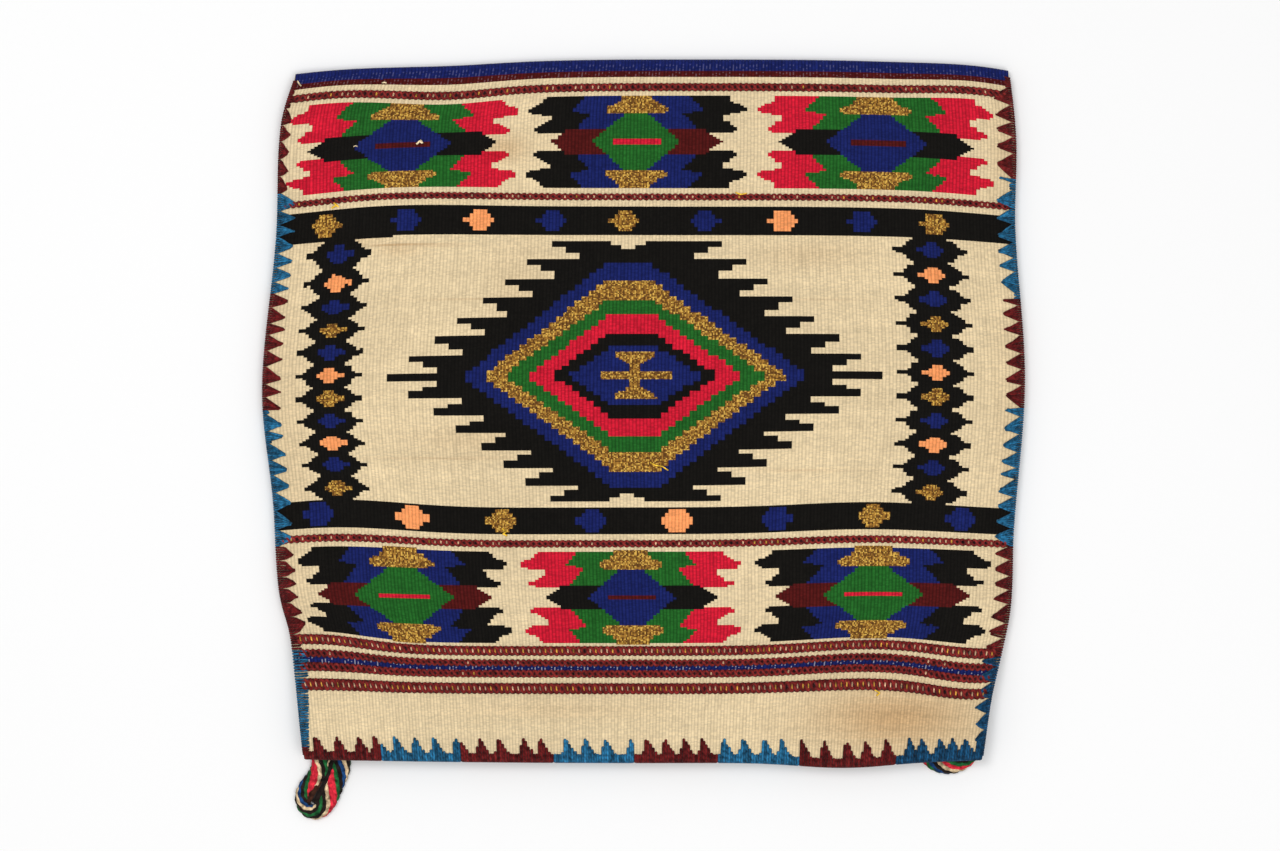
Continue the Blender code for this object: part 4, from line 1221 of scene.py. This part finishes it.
class KILIM_OT_stitch_mouth(bpy.types.Operator):
    """Stitch the mouth edges of both leaves with fans of upright yarn"""

    bl_idname = "kilim.stitch_mouth"
    bl_label = "Stitch Mouth"

    def execute(self, context):
        sizes = context.scene.kilim_bag
        chance = random.Random(37)
        material = twisted_yarn("rim yarn")
        radius = sizes.rim_yarn
        total = sum(length for _, length in RIM)
        leaves = (("front", "front_outer", "front_inner"), ("back", "back_inner", "back_outer"))
        for label, outer, inner in leaves:
            place = -HALF
            for number, (colour, length) in enumerate(RIM, 1):
                end = place + 2.0 * HALF * length / total
                teeth = [float(across_at(pixel, BAG_DEPTH)) for pixel in RIM_TEETH[number - 1]]
                count = int((end - place - 2.0 * radius) / sizes.rim_pitch)
                yarn = YARNS["dark blue" if number == len(RIM) else colour]
                strands = []
                for spot in even_turns(place, end, radius, count):
                    fall = max(
                        1.0 - max(spot - tooth, 0.0) / RIM_TOOTH - max(tooth - spot, 0.0) / RIM_TOOTH_LEFT
                        for tooth in teeth
                    )
                    fall = min(1.0, 1.12 * max(fall, 0.0))
                    reach = RIM_STRIP + (RIM_REACH - RIM_STRIP) * fall
                    ragged = chance.uniform(*RIM_RAGGED) * min(1.0, fall * 4.0)
                    reach += ragged + chance.uniform(-0.0002, 0.0003)
                    peak = min(teeth, key=lambda tooth: abs(tooth - spot))
                    slant = (peak - spot) * 0.15 * fall + chance.uniform(-0.0002, 0.0002)
                    tone = shaded(yarn, chance, TURN_SHADES)
                    path = rim_strand(outer, inner, spot, reach, slant, radius)
                    strands.append((path, radius, radius * RIM_FLAT, tone))
                along = np.linspace(place + radius, end - radius, 24)
                edge = (on_cloth(outer, along, BAG_DEPTH) + on_cloth(inner, along, BAG_DEPTH)) / 2.0
                edge[:, 1] -= radius * 0.75
                strands.append((edge, radius * 0.8, radius * 1.3, shaded(yarn, chance, 0.1)))
                if label == "front" and number in (1, len(RIM)):
                    side = -1.0 if number == 1 else 1.0
                    thin = sizes.seam_yarn
                    for turn in range(CORNER_TURNS):
                        down = BAG_DEPTH - SEAM_END + 0.0002 + sizes.seam_pitch * turn
                        path = seam_strand(side, down, down, 0.0, CORNER_REACH, thin)
                        strands.append((path, thin, thin * SEAM_FLAT, shaded(yarn, chance, 0.2)))
                piece = yarn_piece(f"{label}_rim_stitches_{number}", strands, material)
                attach(piece, "root")
                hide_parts(f"{label}_rim_yarn_{number}")
                place = end
        return {"FINISHED"}


# ---- loops ----

def loop_line(side, route):
    """Even points and half widths along the smooth curve through a loop's route."""
    corner = float(plan(np.array(side * HALF), np.array(BAG_DEPTH))[0])
    rim = -BAG_DEPTH - BINDING + SETTLE
    marks = [np.array([corner - side * inwards, rim - beyond, width]) for inwards, beyond, width in route]
    spaced = [marks[0]]
    for index in range(len(marks) - 1):
        p0, p1, p2, p3 = (marks[min(max(index + step, 0), len(marks) - 1)] for step in (-1, 0, 1, 2))
        for step in range(1, CURVE_STEPS + 1):
            t = step / CURVE_STEPS
            place = 0.5 * (
                2.0 * p1 + (p2 - p0) * t + (2.0 * p0 - 5.0 * p1 + 4.0 * p2 - p3) * t ** 2
                + (3.0 * p1 - p0 - 3.0 * p2 + p3) * t ** 3
            )
            if np.linalg.norm(place - spaced[-1]) >= CURVE_LEAST:
                spaced.append(place)
    return np.array(spaced)


class KILIM_OT_braid_loops(bpy.types.Operator):
    """Braid the loops of coloured yarn at the mouth's corners"""

    bl_idname = "kilim.braid_loops"
    bl_label = "Braid Loops"

    def execute(self, context):
        sizes = context.scene.kilim_bag
        chance = random.Random(41)
        material = twisted_yarn("loop yarn", 0.65)
        loops = (
            ("left", -1.0, LEFT_LOOP_ROUTE, LEFT_LOOP_COLOURS, 0.0105),
            ("right", 1.0, RIGHT_LOOP_ROUTE, RIGHT_LOOP_COLOURS, 0.0043),
        )
        for label, side, route, colours, first in loops:
            line = loop_line(side, route)
            flat = line[:, :2]
            ahead = np.gradient(flat, axis=0)
            ahead /= np.linalg.norm(ahead, axis=1)[:, None]
            sideways = np.stack([ahead[:, 1], -ahead[:, 0]], axis=1) * -side
            travelled = run_length(flat)
            strands = []
            for number, colour in enumerate(colours):
                phase = math.pi / 2.0 + 2.0 * math.pi * (
                    number / len(colours) - (travelled - first) / sizes.loop_pitch)
                swing = (line[:, 2] - LOOP_YARN) * np.sin(phase)
                swing = swing + LOOP_WAVE * np.sin(2.0 * math.pi * travelled / LOOP_WAVE_LENGTH + number)
                height = LOOP_THICK / 2.0 + (LOOP_THICK / 2.0 - LOOP_YARN_THICK) * np.cos(phase)
                path = np.concatenate([flat + sideways * swing[:, None], height[:, None]], axis=1)
                strands.append((path, LOOP_YARN, LOOP_YARN_THICK, shaded(LOOP_YARNS[colour], chance, 0.1)))
            # the eye's brown and dark strands are painted shade
            for colour, yarn, route in EYE_YARNS_AND_SHADE if label == "left" else ():
                marks = [((x - MIDDLE_COLUMN) * PIXEL, (MIDDLE_ROW - y) * PIXEL) for x, y in route]
                spots = even_steps(marks, 16)
                path = np.stack([*spots, np.full(len(spots[0]), EYE_HEIGHT)], axis=1)
                strands.append((path, yarn, EYE_THICK, LOOP_YARNS[colour]))
            piece = yarn_piece(f"{label}_loop_braid", strands, material, sides=8, level=True)
            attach(piece, "root")
            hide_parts(f"{label}_loop")
        return {"FINISHED"}


# ---- loose ends ----

class KILIM_OT_lay_loose_ends(bpy.types.Operator):
    """Lay the stray ends of cotton and tinsel thread that stick out of the weave"""

    bl_idname = "kilim.lay_loose_ends"
    bl_label = "Lay Loose Ends"

    def execute(self, context):
        strands = []
        for colour, radius, route in LOOSE_ENDS:
            across, down = chart_at(*even_steps(route, 5 * len(route)))
            lift = radius * (0.4 + 1.6 * np.sin(np.linspace(0.0, math.pi, len(across))))
            tone = COLOURS["cream"] if colour == "cream" else TINSEL_THREAD
            strands.append((on_cloth("front_outer", across, down, lift), radius, radius, tone))
        piece = yarn_piece("loose_ends", strands, twisted_yarn("loose thread", 0.65), level=True)
        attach(piece, "root")
        return {"FINISHED"}


# ---- stage ----

def seen_directly(tree):
    """1 for rays from the camera, also by way of a reflection or glass, and 0 for the light on the bag."""
    paths = tree.nodes.new("ShaderNodeLightPath")
    seen = paths.outputs["Is Camera Ray"]
    for kind in ("Is Glossy Ray", "Is Transmission Ray"):
        either = tree.nodes.new("ShaderNodeMath")
        either.operation = "MAXIMUM"
        tree.links.new(seen, either.inputs[0])
        tree.links.new(paths.outputs[kind], either.inputs[1])
        seen = either.outputs[0]
    return seen


def pale_floor():
    """A pale floor that keeps the bag's shadow near by and fades to plain white far off."""
    n = Nodes("pale floor")
    mottled = n.noise(n.objects(), 3.0, 2.0)
    n.put(n.shader.inputs["Base Color"], n.grey(n.span(mottled, 0.955, 0.965)))
    n.shader.inputs["Roughness"].default_value = 0.9
    n.shader.inputs["Specular IOR Level"].default_value = 0.1
    distance = n.tree.nodes.new("ShaderNodeVectorMath")
    distance.operation = "LENGTH"
    n.put(distance.inputs[0], n.objects())
    fade = n.tree.nodes.new("ShaderNodeMapRange")
    fade.interpolation_type = "SMOOTHSTEP"
    n.put(fade.inputs["Value"], distance.outputs["Value"])
    fade.inputs["From Min"].default_value = FLOOR_NEAR
    fade.inputs["From Max"].default_value = FLOOR_FAR
    white = n.tree.nodes.new("ShaderNodeEmission")
    blend = n.tree.nodes.new("ShaderNodeMixShader")
    n.put(blend.inputs[0], n.maths("MULTIPLY", fade.outputs["Result"], seen_directly(n.tree)))
    n.tree.links.new(n.shader.outputs[0], blend.inputs[1])
    n.tree.links.new(white.outputs[0], blend.inputs[2])
    n.tree.links.new(blend.outputs[0], n.tree.nodes["Material Output"].inputs["Surface"])
    return n.material


class KILIM_OT_set_stage(bpy.types.Operator):
    """Lay the pale floor, hang the lamps and place the camera"""

    bl_idname = "kilim.set_stage"
    bl_label = "Set Stage"

    def execute(self, context):
        sizes = context.scene.kilim_bag
        scene = context.scene
        bpy.ops.object.select_all(action="DESELECT")
        bpy.ops.mesh.primitive_plane_add(size=FLOOR_SIZE, location=(0.0, 0.0, 0.0))
        floor = context.object
        floor.name = "floor"
        floor.data.materials.append(pale_floor())
        bpy.ops.object.camera_add(location=(*CAMERA_PLACE, sizes.camera_height), rotation=(0.0, 0.0, 0.0))
        camera = context.object
        camera.data.lens = LENS
        camera.data.clip_end = 50.0
        scene.camera = camera
        for name, place, size in LAMPS:
            bpy.ops.object.light_add(type="AREA", location=place)
            lamp = context.object
            lamp.name = name
            lamp.rotation_euler = Vector(place).to_track_quat("Z", "Y").to_euler()
            lamp.data.energy = getattr(sizes, name + "_power")
            lamp.data.size = size
        world = bpy.data.worlds.new("studio")
        world.use_nodes = True
        scene.world = world
        tree = world.node_tree
        background = tree.nodes["Background"]
        background.inputs["Color"].default_value = (1.0, 1.0, 1.0, 1.0)
        strength = tree.nodes.new("ShaderNodeMix")
        strength.inputs[2].default_value = sizes.sky
        strength.inputs[3].default_value = 1.0
        tree.links.new(seen_directly(tree), strength.inputs[0])
        tree.links.new(strength.outputs[0], background.inputs["Strength"])
        scene.view_settings.view_transform = "Standard"
        return {"FINISHED"}


OPERATORS = (
    KILIM_OT_weave_cloth, KILIM_OT_twine_rows, KILIM_OT_sew_sides, KILIM_OT_stitch_mouth,
    KILIM_OT_braid_loops, KILIM_OT_lay_loose_ends, KILIM_OT_set_stage,
)


class KILIM_PT_bag(bpy.types.Panel):
    """The bag's sizes and the steps that make it"""

    bl_idname = "KILIM_PT_bag"
    bl_label = "Kilim Bag"
    bl_space_type = "VIEW_3D"
    bl_region_type = "UI"
    bl_category = "Kilim Bag"

    def draw(self, context):
        layout = self.layout
        sizes = context.scene.kilim_bag
        for name in KilimBagSizes.__annotations__:
            layout.prop(sizes, name)
        for operator in OPERATORS:
            layout.operator(operator.bl_idname)


CLASSES = (KilimBagSizes, *OPERATORS, KILIM_PT_bag)


def register():
    for cls in CLASSES:
        bpy.utils.register_class(cls)
    bpy.types.Scene.kilim_bag = PointerProperty(type=KilimBagSizes)


def unregister():
    del bpy.types.Scene.kilim_bag
    for cls in reversed(CLASSES):
        bpy.utils.unregister_class(cls)


def main():
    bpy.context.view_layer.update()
    register()
    bpy.ops.kilim.weave_cloth()
    bpy.ops.kilim.twine_rows()
    bpy.ops.kilim.sew_sides()
    bpy.ops.kilim.stitch_mouth()
    bpy.ops.kilim.braid_loops()
    bpy.ops.kilim.lay_loose_ends()
    bpy.ops.kilim.set_stage()


if __name__ == "__main__":
    main()
